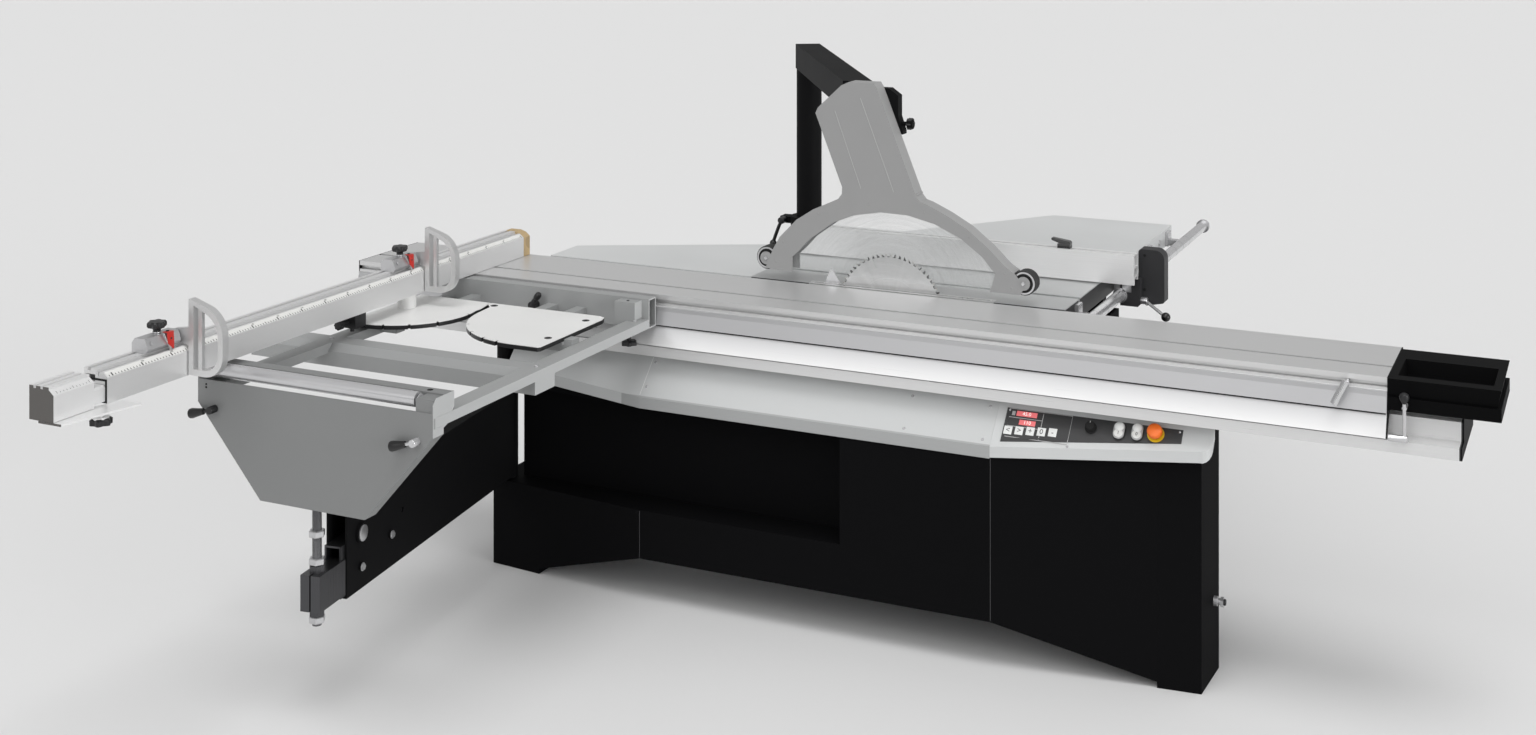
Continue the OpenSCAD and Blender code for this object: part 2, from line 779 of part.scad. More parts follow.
module saw_saddle() {
  low = saddle_low;
  top = low + saddle_h;
  color("#475466") difference() {
    union() {
      // Guide block on the two posts
      block([-guide_x - bush_w / 2, guide_y - 36, low], [guide_x + bush_w / 2, guide_y + 36, top]);
      // Neck and arbor housing
      block([-34, guide_y - 36, top - cut], [34, guide_y + 36, arbor_z]);
      rod_y(16, guide_y + 76, 0, arbor_z, housing_d);
      // Shelf for the motor
      block([-90, guide_y + 36 - cut, motor_z - 125], [90, guide_y + 320, motor_z - 103]);
      block([-90, guide_y, motor_z - 125], [90, guide_y + 36, low + cut]);
      // Arm of the riving knife
      block([-205, knife_t / 2, 700], [-165, guide_y - 30, top]);
    }
    for (x = [-guide_x, guide_x]) rod_z(low - cut, top + cut, x, guide_y, 40 + 2 * fit);
    rod_y(16 - cut, guide_y + 76 + cut, 0, arbor_z, arbor_d + 2 * fit);
    // Window in the guide block
    block([-80, guide_y - 40, low + 50], [80, guide_y + 40, top - 50]);
  }
  // Rod of the lift drive
  color("#bfbfc2") rod_z(low - 202, low + 1, 0, guide_y, lift_rod_d);
}

module drive_motor() {
  y0 = guide_y + 128;
  color("#404c5c") difference() {
    union() {
      rod_y(y0, y0 + 250, 0, motor_z, 190);
      rod_y(y0 - 10, y0, 0, motor_z, 150);
      rod_y(y0 + 250, y0 + 290, 0, motor_z, 184);
      // Cooling fins
      for (a = [0:20:340]) up(motor_z) rotate([0, a, 0]) block([90, y0 + 20, -2], [101, y0 + 230, 2]);
      // Foot on the shelf
      block([-80, y0 + 40, motor_z - 103 + seat], [80, y0 + 180, motor_z - 80]);
      block([60, y0 + 60, motor_z - 50], [125, y0 + 150, motor_z + 50]);
    }
    rod_y(y0 - 11, y0 + 60, 0, motor_z, 28 + 2 * fit);
  }
}

belt_y = 110 + 84;
belt_w = 26;

module belt_outline(grow) {
  hull() {
    translate([0, arbor_z]) circle(d = arbor_pulley_d + 2 * grow, $fn = 48);
    translate([0, motor_z]) circle(d = motor_pulley_d + 2 * grow, $fn = 48);
  }
}

module drive_belt() {
  color("#0f0f0f") along_y(belt_y, belt_y + belt_w) difference() {
    belt_outline(5 + seat);
    belt_outline(seat);
  }
}

module riving_knife() {
  r0 = blade_d / 2 + 6;
  color("#b2b5b8") along_y(-knife_t / 2, knife_t / 2) difference() {
    translate([0, arbor_z]) circle(r = r0 + 44);
    translate([0, arbor_z]) circle(r = r0);
    translate([-150, 0]) square([600, 2000]);
    translate([-600, 0]) square([1200, 700]);
    translate([-203, arbor_z + 62]) rotate(-58) translate([-80, 36]) square([160, 80]);
  }
}

module saw_blade() {
  color("#cccfd1") difference() {
    union() {
      along_y(-blade_t / 2, blade_t / 2) difference() {
        translate([0, arbor_z]) tooth_ring(blade_d / 2, blade_teeth, 11);
        translate([0, arbor_z]) circle(d = arbor_d + 2 * fit);
        // Expansion slots
        for (a = [20:90:290]) translate([0, arbor_z]) rotate(a) translate([blade_d / 2 - 42, -1]) square([60, 2]);
      }
    }
    for (a = [0:120:240]) up(arbor_z) rotate([0, a, 0]) rod_y(-5, 5, 32, 0, 8);
  }
}

module arbor() {
  color("#9ea1a6") {
    rod_y(-14, belt_y + belt_w + 4, 0, arbor_z, arbor_d);
    // Inner flange, outer flange and nut
    rod_y(blade_t / 2 + fit, 15, 0, arbor_z, flange_d);
    rod_y(-9, -blade_t / 2 - fit, 0, arbor_z, flange_d);
    translate([0, -18, arbor_z]) rotate([-90, 0, 0]) cylinder(h = 9, d = 50, $fn = 6);
    // Driven pulley
    rod_y(belt_y - 3, belt_y + belt_w + 3, 0, arbor_z, arbor_pulley_d);
  }
}

module motor_pulley() {
  color("#808287") {
    difference() {
      rod_y(belt_y - 3, belt_y + belt_w + 3, 0, motor_z, motor_pulley_d);
      for (a = [45:90:315]) up(motor_z) rotate([0, a, 0]) rod_y(belt_y - 4, belt_y + belt_w + 4, 29, 0, 16);
    }
    rod_y(belt_y + belt_w + 3, guide_y + 170, 0, motor_z, 28);
  }
}

module scoring_blade() {
  color("#bfc2c7") {
    along_y(-1.5, 1.5) translate([score_x, score_z]) tooth_ring(score_d / 2, score_teeth, 7);
    rod_y(-8, 11, score_x, score_z, 34);
    rod_y(0, guide_y + 40, score_x, score_z, 2 * score_shaft_r);
    rod_y(guide_y + 31, guide_y + 50, score_x, score_z, 36);
  }
}

module dust_duct() {
  w = 3;
  color("#333336") difference() {
    union() {
      block([-470, -90, 340], [200, 50, 500]);
      rod_y(40, cabinet_rear + cut, -400, 400, 2 * dust_r - 2);
      rod_y(cabinet_rear, cabinet_rear + dust_out, -400, 400, 2 * dust_r);
    }
    block([-470 + w, -90 + w, 340 + w], [200 - w, 50 - w, 501]);
    rod_y(30, cabinet_rear + dust_out + cut, -400, 400, 2 * (dust_r - w));
  }
  // Legs of the hopper on the cabinet floor
  color("#333336") for (x = [-440, 170])
    block([x - 15, -40, cabinet_clear + cabinet_wall], [x + 15, -10, 340]);
}

// GUARD

hood_front_x = 428;
hood_rear_x = -404;
hood_low = table_h + hood_gap;
hood_roller_z = hood_low + 34;
arch_top = table_h + 268;

// Arch with rounded shoulders and the neck that leads up to the guard tube
module hood_outline() {
  z = table_h;
  polygon([[-363, hood_low], [417, hood_low], [433, z + 55], [401, z + 93], [374, z + 110], [319, z + 162],
        [255, z + 211], [189, z + 247], [128, z + 274], [107, z + 280], [94, z + 296], [-33, z + 614],
        [-42, z + hood_h], [-126, z + hood_h], [-150, z + 617], [-228, z + 545], [-236, z + 528], [-147, z + 306],
        [-148, z + 285], [-160, z + 269], [-244, z + 230], [-300, z + 194], [-357, z + 136], [-380, z + 97],
        [-406, z + 36]]);
}

module window_outline(grow, low) {
  z = table_h;
  g = grow;
  polygon([[-314 - g, low], [-314 - g, z + 78 + g], [-298 - g, z + 92 + g], [-255 - g, z + 138 + g],
        [-176, z + 195 + g], [-107, z + 223 + g], [-20, z + 239 + g], [67, z + 237 + g], [152 + g, z + 218 + g],
        [236 + g, z + 181 + g], [301 + g, z + 134 + g], [342 + g, z + 87 + g], [326 + g, low]]);
}

module hood_shell() {
  y1 = hood_w / 2;
  color("#949696") difference() {
    union() {
      difference() {
        along_y(-y1, y1) hood_outline();
        along_y(-y1 + hood_wall, y1 - hood_wall) offset(delta = -hood_wall) hood_outline();
        // Open underside and open windows
        block([hood_rear_x + 50, -y1 + hood_wall, hood_low - cut], [hood_front_x - 40, y1 - hood_wall, hood_low + 10]);
        along_y(-y1 - cut, y1 + cut) window_outline(0, hood_low - cut);
      }
      // Stiffening web between the arch and the neck
      block([-140, -y1 + 1, arch_top + 30], [95, y1 - 1, arch_top + 34]);
    }
    // Room for the rollers
    for (x = [hood_rear_x, hood_front_x])
      rod_y(-y1 + hood_wall, y1 - hood_wall, x, hood_roller_z, hood_roller_d + 8);
  }
  // Rib that slides in the bracket of the guard tube
  color("#949696") block([-79.5, y1 - 1, table_h + 330], [-40.5, y1 + 8.5, table_h + 600]);
  // Axles of the rollers with their end plates
  color("#949696") for (x = [hood_rear_x, hood_front_x]) {
    rod_y(-y1, y1, x, hood_roller_z, 12);
    for (side = [-1, 1]) rod_y(side > 0 ? y1 - hood_wall : -y1, side > 0 ? y1 : -y1 + hood_wall, x, hood_roller_z, 40);
  }
}

module hood_windows() {
  y1 = hood_w / 2 - hood_wall;
  color("#d9e0e659") for (y = [-y1, y1 - 2])
    along_y(y, y + 2) window_outline(7, hood_low + 2);
}

module hood_roller(x) {
  w = hood_roller_w / 2;
  color("#0d0d0d") difference() {
    rod_y(-w, w, x, hood_roller_z, hood_roller_d);
    rod_y(-w - cut, w + cut, x, hood_roller_z, 12 + 2 * fit);
    for (side = [-1, 1]) difference() {
      rod_y(side > 0 ? w - 5 : -w - cut, side > 0 ? w + cut : -w + 5, x, hood_roller_z, hood_roller_d - 16);
      rod_y(-w - 2 * cut, w + 2 * cut, x, hood_roller_z, 24);
    }
  }
}

module hood_roller_front() {
  hood_roller(hood_front_x);
}

module hood_roller_rear() {
  hood_roller(hood_rear_x);
}

module guard_arm() {
  front_y0 = hood_w / 2 + 34;
  z1 = table_h + tube_top;
  run = (post_y - front_y0) / cos(tube_turn);
  wall = 5;
  color("#0f0f11") {
    // Square tube from the post to the hood, cut off square to the hood
    difference() {
      translate([post_x, post_y, z1 - tube_w]) rotate([0, 0, tube_turn]) difference() {
        translate([-tube_w / 2, -run - 40, 0]) cube([tube_w, run + 40 + tube_w / 2, tube_w]);
        translate([-tube_w / 2 + wall, -run - 41, wall]) cube([tube_w - 2 * wall, run + 41, tube_w - 2 * wall]);
      }
      block([-600, -400, z1 - 2 * tube_w], [600, front_y0, z1 + cut]);
    }
    // Round post, a tube
    difference() {
      rod_z(post_foot, z1 - tube_w, post_x, post_y, post_d);
      rod_z(post_foot - cut, z1 - tube_w - wall, post_x, post_y, post_d - 2 * wall);
    }
    // Bracket behind the hood neck with its guide
    difference() {
      along_y(hood_w / 2 + 0.4, front_y0)
        polygon([[-150, z1 - 150], [29, z1 - 150], [29, z1 - 140], [14, z1 - 96], [14, z1 - 33], [-16, z1 - 12],
        [-150, z1 - 12]]);
      block([-130, hood_w / 2 + 14, z1 - 140], [-6, front_y0 + cut, z1 - 90]);
      block([-80, hood_w / 2, z1 - 151], [-40, hood_w / 2 + 9, z1 - 11]);
    }
    // Clamp knob of the bracket
    rod_x(18, 40, hood_w / 2 + 16, z1 - 119, 12);
    for (a = [0:60:300]) translate([40, hood_w / 2 + 16, z1 - 119]) rotate([a, 0, 0]) rod_x(0, 16, 0, 9, 12);
    rod_x(40, 58, hood_w / 2 + 16, z1 - 119, 24);
  }
}

post_foot = 645;
collar_z = 850;
collar_h = 36;
clamp_x = post_x - 92;

module post_socket() {
  r = post_d / 2 + fit;
  color("#121213") difference() {
    union() {
      rod_z(post_foot - 12, collar_z + collar_h, post_x, post_y, post_d + 30);
      rod_z(collar_z, collar_z + collar_h, post_x, post_y, post_d + 44);
      // Ears of the clamp
      block([post_x - 108, post_y - 24, collar_z + 6], [post_x - 40, post_y + 24, collar_z + collar_h - 6]);
      // Arm to the cabinet
      translate([post_x, post_y, post_foot - 12]) rotate([0, 0, 30.4]) block([-45, -600, 0], [45, 0, 90]);
      // Flange on the cabinet
      block([-cabinet_half + 20, cabinet_rear, post_foot - 60], [-cabinet_half + 250, cabinet_rear + 16, post_foot + 110]);
    }
    rod_z(post_foot - seat, collar_z + collar_h + cut, post_x, post_y, 2 * r);
    // Split of the clamp
    block([post_x - 110, post_y - 2, collar_z - cut], [post_x - post_d / 2 + 4, post_y + 2, collar_z + collar_h + cut]);
    // Bore of the clamp bolt
    rod_y(post_y - 30, post_y + 30, clamp_x, collar_z + collar_h / 2, 12 + 2 * fit);
    // The arm ends at the cabinet
    block([-1200, -400, post_foot - 100], [400, cabinet_rear, post_foot + 200]);
  }
}

module guard_lever() {
  z = collar_z + collar_h / 2;
  color("#0d0d0d") {
    rod_y(post_y - 40, post_y + 26, clamp_x, z, 12);
    rod_y(post_y - 54, post_y - 24 - seat, clamp_x, z, 26);
    hull() {
      rod_y(post_y - 54, post_y - 42, clamp_x, z, 18);
      translate([clamp_x - 30, post_y - 48, z - 74]) sphere(d = 14, $fn = 24);
    }
    translate([clamp_x - 33, post_y - 48, z - 84]) sphere(d = 26, $fn = 24);
  }
}

// CARRIAGE

module carriage_section() {
  w = carriage_wall;
  t = table_h;
  difference() {
    polygon([[near_y, t], [-carriage_far, t], [-carriage_far, t - 78], [-carriage_far - w, t - 78],
        [-carriage_far - w, box_z], [rod_far + 10, box_z], [rod_far + 10, rod_top + seat],
        [rod_far - 10, rod_top + seat], [rod_far - 10, box_z], [rod_near + 10, box_z],
        [rod_near + 10, rod_top + seat], [rod_near - 10, rod_top + seat], [rod_near - 10, box_z],
        [lip_y + w + 4, box_z], [foot_y + w + 2, skirt_z], [foot_y, skirt_z], [lip_y - 3, t - 88],
        [lip_y - 8, t - 88], [lip_y, box_z], [lip_y, t - 36], [near_y, t - 33]]);
    // Groove in the top
    translate([groove_y - top_groove_w / 2, t - 12]) square([top_groove_w, 13]);
    translate([groove_y - top_groove_w / 2 - 5, t - 12]) square([top_groove_w + 10, 6]);
    // Clamp groove in the near side
    translate([near_y - cut, t - 26]) square([15, 12]);
    translate([near_y + 8, t - 30]) square([6, 20]);
    // Three closed cells
    translate([near_y + 20, box_z + w]) square([groove_y - near_y - 38, carriage_box - 2 * w]);
    translate([groove_y + 18, box_z + w]) square([88, carriage_box - 2 * w]);
    translate([groove_y + 112, box_z + w]) square([-carriage_far - w - groove_y - 112, carriage_box - 2 * w]);
  }
}

groove_y = -245;

module carriage_table() {
  color("#bfc2c4") along_x(carriage_left, carriage_right) carriage_section();
}

module carriage_ends() {
  t = table_h;
  color("#0d0d0e") for (x = [carriage_left - end_plate, carriage_right])
    along_x(x, x + end_plate)
      polygon([[near_y, t], [-carriage_far, t], [-carriage_far, t - 78], [near_y + 22, t - 78],
        [near_y + 22, t - 100], [foot_y + 8, skirt_z], [foot_y, skirt_z], [lip_y - 3, t - 88], [near_y, t - 36]]);
}

module end_tray() {
  x0 = carriage_right + end_plate;
  x1 = tray_right;
  y0 = near_y - 9;
  y1 = -carriage_far - 18;
  t = table_h;
  low = t - tray_h;
  wall = 5;
  color("#0d0d0e") {
    difference() {
      union() {
        // Tapered upper part and the flange below it
        hull() {
          block([x0, y0, t - 1], [x1, y1, t]);
          block([x0, y0 + 8, low + 33], [x1 - 10, y1 - 8, low + 34]);
        }
        block([x0, y0, low], [x1, y1, low + 33]);
      }
      // Open underside
      block([x0 - cut, y0 + wall, low - cut], [x1 - wall, y1 - wall, low + 30]);
      block([x0 + 8, y0 + 18, low + 20], [x1 - 20, y1 - 18, t - 44]);
      // Bore of the latch
      rod_y(y0 - cut, y0 + wall + cut, latch_x, latch_z, 12 + 2 * fit);
      // Recess for small things
      hull() {
        block([x0 + 20, y0 + 40, t], [x0 + 247, y1 - 100, t + 1]);
        block([x0 + 26, y0 + 46, t - 38], [x0 + 241, y1 - 106, t]);
      }
    }
  }
}

latch_x = carriage_right + 46;
latch_y = near_y - 44;
latch_z = table_h - 62;

module latch_lever() {
  z = skirt_z + 8;
  color("#b2b5b8") {
    rod_z(z, table_h - 40, latch_x, latch_y, 9);
    rod_x(carriage_right + 8, latch_x + 8, latch_y, z, 18);
    rod_y(latch_y, near_y - 1, latch_x, latch_z, 12);
  }
  color("#0d0d0d") translate([latch_x, latch_y, table_h - 32]) sphere(d = 22, $fn = 24);
}

lock_x = carriage_right - 95;

module lock_handle() {
  color("#bfc2c4") {
    rod_y(near_y - 22, near_y + 7, lock_x, table_h - 20, 11);
    translate([lock_x, near_y - 30, table_h - 14]) rotate([8, 207, 0]) cylinder(h = 66, d = 20);
  }
}

// OUTRIGGER

module outrigger_frame() {
  x0 = out_left;
  x1 = out_right;
  y0 = -panel_y + panel_t;
  rail_low = rail_top_z - side_rail_t;
  color("#adb0b0") {
    difference() {
      union() {
        // Tube along the carriage, with a hook into its groove
        along_x(x0, x1) difference() {
          translate([inner_front, table_h - 3 - inner_rail_h]) square([inner_back - inner_front, inner_rail_h]);
          translate([inner_front + 4, table_h + 1 - inner_rail_h]) square([inner_back - inner_front - 8, inner_rail_h - 8]);
        }
        for (x = [x0 + 60, x1 - 120]) block([x, inner_back - cut, table_h - 26], [x + 60, near_y + 7, table_h - 14]);
        // Side rails
        for (x = [x0, x1 - side_rail_w])
          block([x, y0, rail_low], [x + side_rail_w, inner_front + cut, rail_top_z]);
        // Bevelled cross tube
        along_x(x0 - tube_over, x1) cross_section(0);
        // Clamp block near the right end
        block([x1 - 94, inner_front - 40, table_h - 78], [x1 - 25, inner_front + cut, table_h - 8]);
        // Boss of the fence pivot on the left rail
        rod_z(rail_low, table_h - seat, pivot_x, pivot_y, 56);
        block([x0, pivot_y - 28, rail_low], [pivot_x, pivot_y + 28, rail_top_z]);
        // Arms that carry the angle plates
        for (x = [-1240, -960, -860])
          block([x, -620, rail_low], [x + 34, inner_front + cut, plate_z - seat]);
        block([x1 - side_rail_w - 90, -760, rail_low + 6], [x1 - side_rail_w + cut, -720, plate_z - seat]);
        block([x0 + side_rail_w - cut, -800, rail_low + 6], [x0 + side_rail_w + 60, -760, plate_z - seat]);
      }
      along_x(x0 - tube_over + 4, x1 - 4) cross_section(4);
      rod_z(rail_low - cut, table_h + cut, pivot_x, pivot_y, pivot_d + 2 * fit);
      // Bore of the clamp lever
      rod_y(inner_front - cut, inner_back + cut, lever_x, lever_z, 14 + 2 * fit);
    }
  }
}

lever_x = -1004;
lever_z = table_h - 56;
tube_over = 222;
pivot_d = 24;

module cross_section(inset) {
  y0 = -1037;
  y1 = -939;
  z0 = table_h - 125;
  z1 = rail_top_z;
  i = inset;
  polygon([[y0 + i, z0 + i], [y1 - i, z0 + i], [y1 - i, z1 - 20 - i / 3], [y1 - 20 - i / 3, z1 - i],
        [y0 + 20 + i / 3, z1 - i], [y0 + i, z1 - 20 - i / 3]]);
}

// Outline of the end panel, with its lower corners cut away
module panel_outline(inset) {
  x0 = out_left + inset;
  x1 = out_right - inset;
  polygon([[x0, table_h - panel_top], [x0, panel_side_z + inset / 2], [x0 + 207, panel_low + inset],
        [x1 - 206, panel_low + inset], [x1, panel_side_z + inset / 2], [x1, table_h - panel_top]]);
}

module end_panel() {
  depth = 60;
  y0 = -panel_y;
  top = table_h - 15;
  t = panel_t;
  color("#999c9c") difference() {
    union() {
      along_y(y0, y0 + t) panel_outline(0);
      // Folded edge on the slopes and the foot
      along_y(y0 + t - cut, y0 + 45) difference() {
        panel_outline(0);
        panel_outline(t);
        translate([out_left - cut, panel_side_z + 20]) square([2000, 400]);
      }
      // Cheeks that hold the roller
      for (x = [out_left, out_right - t])
        along_x(x, x + t) polygon([[y0, panel_side_z], [y0 + depth, panel_side_z + 20], [y0 + depth + 30, rail_top_z + 10],
        [y0 + depth + 30, top], [y0 + 14, top], [y0, top - 16]]);
      // Bar behind the roller
      block([out_left + t - cut, y0 + 52, top - 40], [out_right - t + cut, y0 + 88, top]);
      // Bearing of the roller
      block([out_right - 54, y0 + 4, top - 40], [out_right - t + cut, y0 + 52 + cut, top - 4]);
    }
    // Side rails pass through the cheeks with a running gap
    for (x = [out_left - cut, out_right - side_rail_w - seat])
      block([x, y0 + t, rail_top_z - side_rail_t - seat], [x + side_rail_w + cut + seat, y0 + depth + 31, rail_top_z + seat]);
    // Holes for the pull levers
    for (x = pull_x) rod_y(y0 - cut, y0 + t + cut, x, pull_z, 12 + 2 * fit);
  }
  color("#b8babd") {
    // Axle of the roller
    rod_x(out_left + t, out_right - 54, y0 + 26, roller_z, 12);
    // Pad for the head of the height spindle
    difference() {
      block([pad_x - 60, y0 + 4 + seat, panel_low + 14], [pad_x + 60, y0 + 100, panel_low + 22]);
      block([pad_x - 70, y0 + 44, panel_low + 13], [pad_x - 20, y0 + 101, panel_low + 23]);
    }
    rod_z(panel_low - 0.5, panel_low + 14, pad_x, y0 + 60, 40);
  }
}

pull_x = [out_left + 58, out_right - 46];
pull_z = table_h - 122;
roller_z = table_h - 28;
pad_x = -1016;

module outrigger_roller() {
  x0 = out_left + panel_t + 4;
  x1 = out_right - 62;
  color("#c7c9cc") difference() {
    rod_x(x0, x1, -panel_y + 26, roller_z, out_roller_d);
    rod_x(x0 - cut, x1 + cut, -panel_y + 26, roller_z, 12 + 2 * fit);
  }
}

// A plate with a notched arc: outline points, then arc centre, radius and angles
module angle_plate(head, c, r, a0, a1, tail, notches) {
  difference() {
    linear_extrude(angle_plate_t) polygon(concat(head,
      [for (i = [0:12]) c + r * [cos(a0 + (a1 - a0) * i / 12), sin(a0 + (a1 - a0) * i / 12)]], tail));
    for (a = notches) translate([c[0] + r * cos(a), c[1] + r * sin(a), -cut])
      rotate(a) translate([-7, -4, 0]) cube([20, 8, angle_plate_t + 2 * cut]);
  }
}

module angle_plates() {
  z = plate_z;
  color("#e6e6e3") {
    up(z) difference() {
      angle_plate([[-697, -900], [-690, -880], [-690, -525], [-700, -515], [-1095, -515], [-1104, -526]],
        [-727, -576], 352, 189, 263, [], [196, 208, 220, 232, 244, 256]);
      for (p = [[-1070, -541], [-727, -576], [-723, -795]])
        translate([p[0], p[1], -cut]) cylinder(h = angle_plate_t + 2 * cut, d = 14);
    }
    up(z) difference() {
      angle_plate([[-1335, -902], [-1335, -515], [-1102, -515]], [pivot_x, pivot_y], 240, 28, -90, [],
        [15, 0, -15, -22.5, -30, -45, -60, -75]);
      translate([pivot_x, pivot_y, -cut]) cylinder(h = angle_plate_t + 2 * cut, d = 58);
    }
  }
}

module outrigger_lever() {
  color("#0d0d0d") {
    rod_y(inner_front - 16, inner_back - 4, lever_x, lever_z, 14);
    rod_y(inner_front - 30, inner_front - seat, lever_x, lever_z, 26);
    hull() {
      rod_y(inner_front - 30, inner_front - 18, lever_x, lever_z, 18);
      translate([lever_x + 18, inner_front - 26, lever_z + 26]) sphere(d = 16, $fn = 24);
    }
    hull() for (i = [0, 1]) translate([lever_x + 18 + 10 * i, inner_front - 26, lever_z + 27 + 8 * i])
      sphere(d = 20, $fn = 24);
  }
}

module pull_lever(x) {
  y0 = -panel_y;
  color("#b8babd") {
    rod_y(y0 - 24, y0 + 20, x, pull_z, 12);
    rod_y(y0 + panel_t + seat, y0 + 14, x, pull_z, 24);
    translate([x, y0 - 18, pull_z]) rotate([0, -104, 0]) cylinder(h = 30, d = 9);
  }
  color("#0a0a0a") {
    rod_y(y0 - 25, y0 - seat, x, pull_z, 20);
    translate([x, y0 - 18, pull_z]) rotate([0, -104, 0]) up(22) cylinder(h = 48, d1 = 17, d2 = 27);
  }
}

module panel_lever_left() {
  pull_lever(pull_x[0]);
}

module panel_lever_right() {
  pull_lever(pull_x[1]);
}

// CROSSCUT FENCE

fence_cell_z = fence_z + 5;
fence_cell_h = 40;
scale_z = fence_z + 62;

module fence_section() {
  x0 = fence_back;
  x1 = fence_face;
  top = fence_z + fence_h;
  difference() {
    polygon([[x0, fence_z], [x1, fence_z], [x1, scale_z], [x1 - 15, scale_z + 12], [x1 - 22, scale_z + 12],
        [x1 - 22, top - 8], [x1 - 34, top - 8], [x1 - 34, top], [x0, top]]);
    // Cell of the extension
    translate([x0 + 5, fence_cell_z]) square([fence_w - 10, fence_cell_h]);
    // Upper cell and the grooves in the top
    translate([x0 + 5, fence_cell_z + fence_cell_h + 5]) square([fence_w - 44, 16]);
    translate([x0 + 12, top - 7]) square([10, 8]);
    translate([x1 - 31, top - 16]) square([5, 9]);
  }
}

module crosscut_fence() {
  z0 = plate_z + angle_plate_t + 1;
  color("#c2c4c7") difference() {
    along_y(fence_y0, -fence_end) fence_section();
    rod_z(fence_z - cut, fence_z + 4, pivot_x, pivot_y, pivot_d);
  }
  color("#808285") rod_z(rail_top_z - side_rail_t, fence_z + 3, pivot_x, pivot_y, pivot_d);
  // Index device that drops into the notches of the angle plate
  color("#0f0f0f") {
    block([fence_back + 8, pivot_y - 285, z0], [fence_face - 6, pivot_y - 236, fence_z]);
    rod_z(z0 - 14, z0 + 1, pivot_x, pivot_y - 262, 12);
    rod_y(pivot_y - 310, pivot_y - 284, pivot_x, z0 + 16, 16);
  }
}

module fence_end_block() {
  y0 = -fence_end + seat;
  y1 = -fence_end + 37;
  color("#c7a36b") difference() {
    along_y(y0, y1) polygon([[fence_back + 4, fence_z], [fence_face, fence_z], [fence_face, scale_z],
      [fence_face - 15, scale_z + 12], [fence_face - 34, fence_z + fence_h], [fence_back + 4, fence_z + fence_h]]);
    for (x = [fence_back + 22, fence_face - 18]) rod_y(y1 - 10, y1 + cut, x, fence_z + 22, 12);
  }
}

module fence_extension() {
  x0 = fence_back + 5 + slide;
  x1 = fence_face - 5 - slide;
  y1 = fence_y0 - ext_show + ext_l;
  z0 = fence_cell_z + 0.5;
  z1 = fence_cell_z + fence_cell_h - 1;
  color("#bdbfc2") {
    along_y(fence_y0 - 42 - cut, y1) difference() {
      polygon([[x0, z0], [x1, z0], [x1, z1 - 6], [x1 - 6, z1], [x0, z1]]);
      translate([x0 + 4, z0 + 4]) square([x1 - x0 - 8, z1 - z0 - 12]);
    }
    // Head with the outline of the fence
    along_y(fence_tip, fence_y0 - 42) difference() {
      polygon([[fence_back, fence_z], [fence_face, fence_z], [fence_face, scale_z], [fence_face - 15, scale_z + 12],
        [fence_face - 15, fence_z + fence_h], [fence_back, fence_z + fence_h]]);
      for (x = [fence_back + 12, fence_back + 34]) translate([x, fence_z + fence_h - 6]) square([9, 7]);
    }
    // Foot plate under the free end
    up(fence_z - 6) linear_extrude(5) polygon([[x1 - 40, fence_tip], [x1 + 30, fence_tip],
      [x1 + 75, fence_y0 + 43], [x1 + 15, fence_y0 + 43], [x1 - 5, fence_y0 - 25], [x1 - 40, fence_y0 - 60]]);
    block([x0, fence_y0 - ext_show, fence_z - 2], [x1, fence_y0 - ext_show + 12, z0 + cut]);
  }
  color("#4c4f52") {
    // Knob of the foot
    rod_z(fence_z - 20, fence_z - 6, x1 + 30, fence_y0 - 45, 14);
    rod_z(fence_z - 32, fence_z - 14, x1 + 30, fence_y0 - 45, 40);
  }
}

slider_l = 115;
slider_x0 = fence_back + 6;
slider_x1 = fence_face - 24;
slider_z0 = fence_z + fence_h + 0.5;
hinge_z = slider_z0 + 18;
hinge_x = fence_face - 42;

module stop_slider(y) {
  y1 = y - 10;
  y0 = y1 - slider_l;
  color("#b2b5b8") difference() {
    union() {
      // Body over the fence and its key in the groove
      along_y(y0, y1) polygon([[slider_x0, slider_z0], [slider_x1, slider_z0], [slider_x1 + 8, slider_z0 + 10],
        [slider_x1 - 2, slider_z0 + 36], [slider_x0 + 10, slider_z0 + 36], [slider_x0, slider_z0 + 24]]);
      block([fence_back + 12.5, y0 + 10, slider_z0 - 7], [fence_back + 21.5, y1 - 10, slider_z0 + 1]);
      // Ear that holds the hinge of the flag
      rod_y(y1 - 2, y1 + 6, hinge_x, hinge_z, 34);
      rod_y(y1, y1 + 24, hinge_x, hinge_z, 12);
    }
    rod_z(slider_z0 + 6, slider_z0 + 40, (slider_x0 + slider_x1) / 2, y0 + 63, 10 + 2 * fit);
  }
  // Pointer over the scale
  color("#cc1f14") hull() {
    block([slider_x1 - 4, y1 - 52, slider_z0 + 36.3], [slider_x1 + 2, y1 - 30, slider_z0 + 38]);
    block([fence_face - 12, y1 - 43, slider_z0 - 6.5], [fence_face - 10, y1 - 39, slider_z0 - 4.5]);
  }
}

module stop_slider_near() {
  stop_slider(-stop_near_y);
}

module stop_slider_far() {
  stop_slider(-stop_far_y);
}

// D shaped flag, with its straight side along the fence face
module flag_outline(inset) {
  x0 = fence_face + 3 + inset;
  z0 = table_h + 3 + inset;
  r1 = 78 - inset;
  r2 = 58 - inset;
  intersection() {
    hull() {
      translate([x0, z0]) square([4, flag_h - 2 * inset]);
      translate([fence_face + flag_reach - 78, table_h + 3 + flag_h - 90]) circle(r1, $fn = 48);
      translate([fence_face + flag_reach - 58, table_h + 3 + 58]) circle(r2, $fn = 48);
    }
    translate([x0, z0]) square([flag_reach, flag_h]);
  }
}

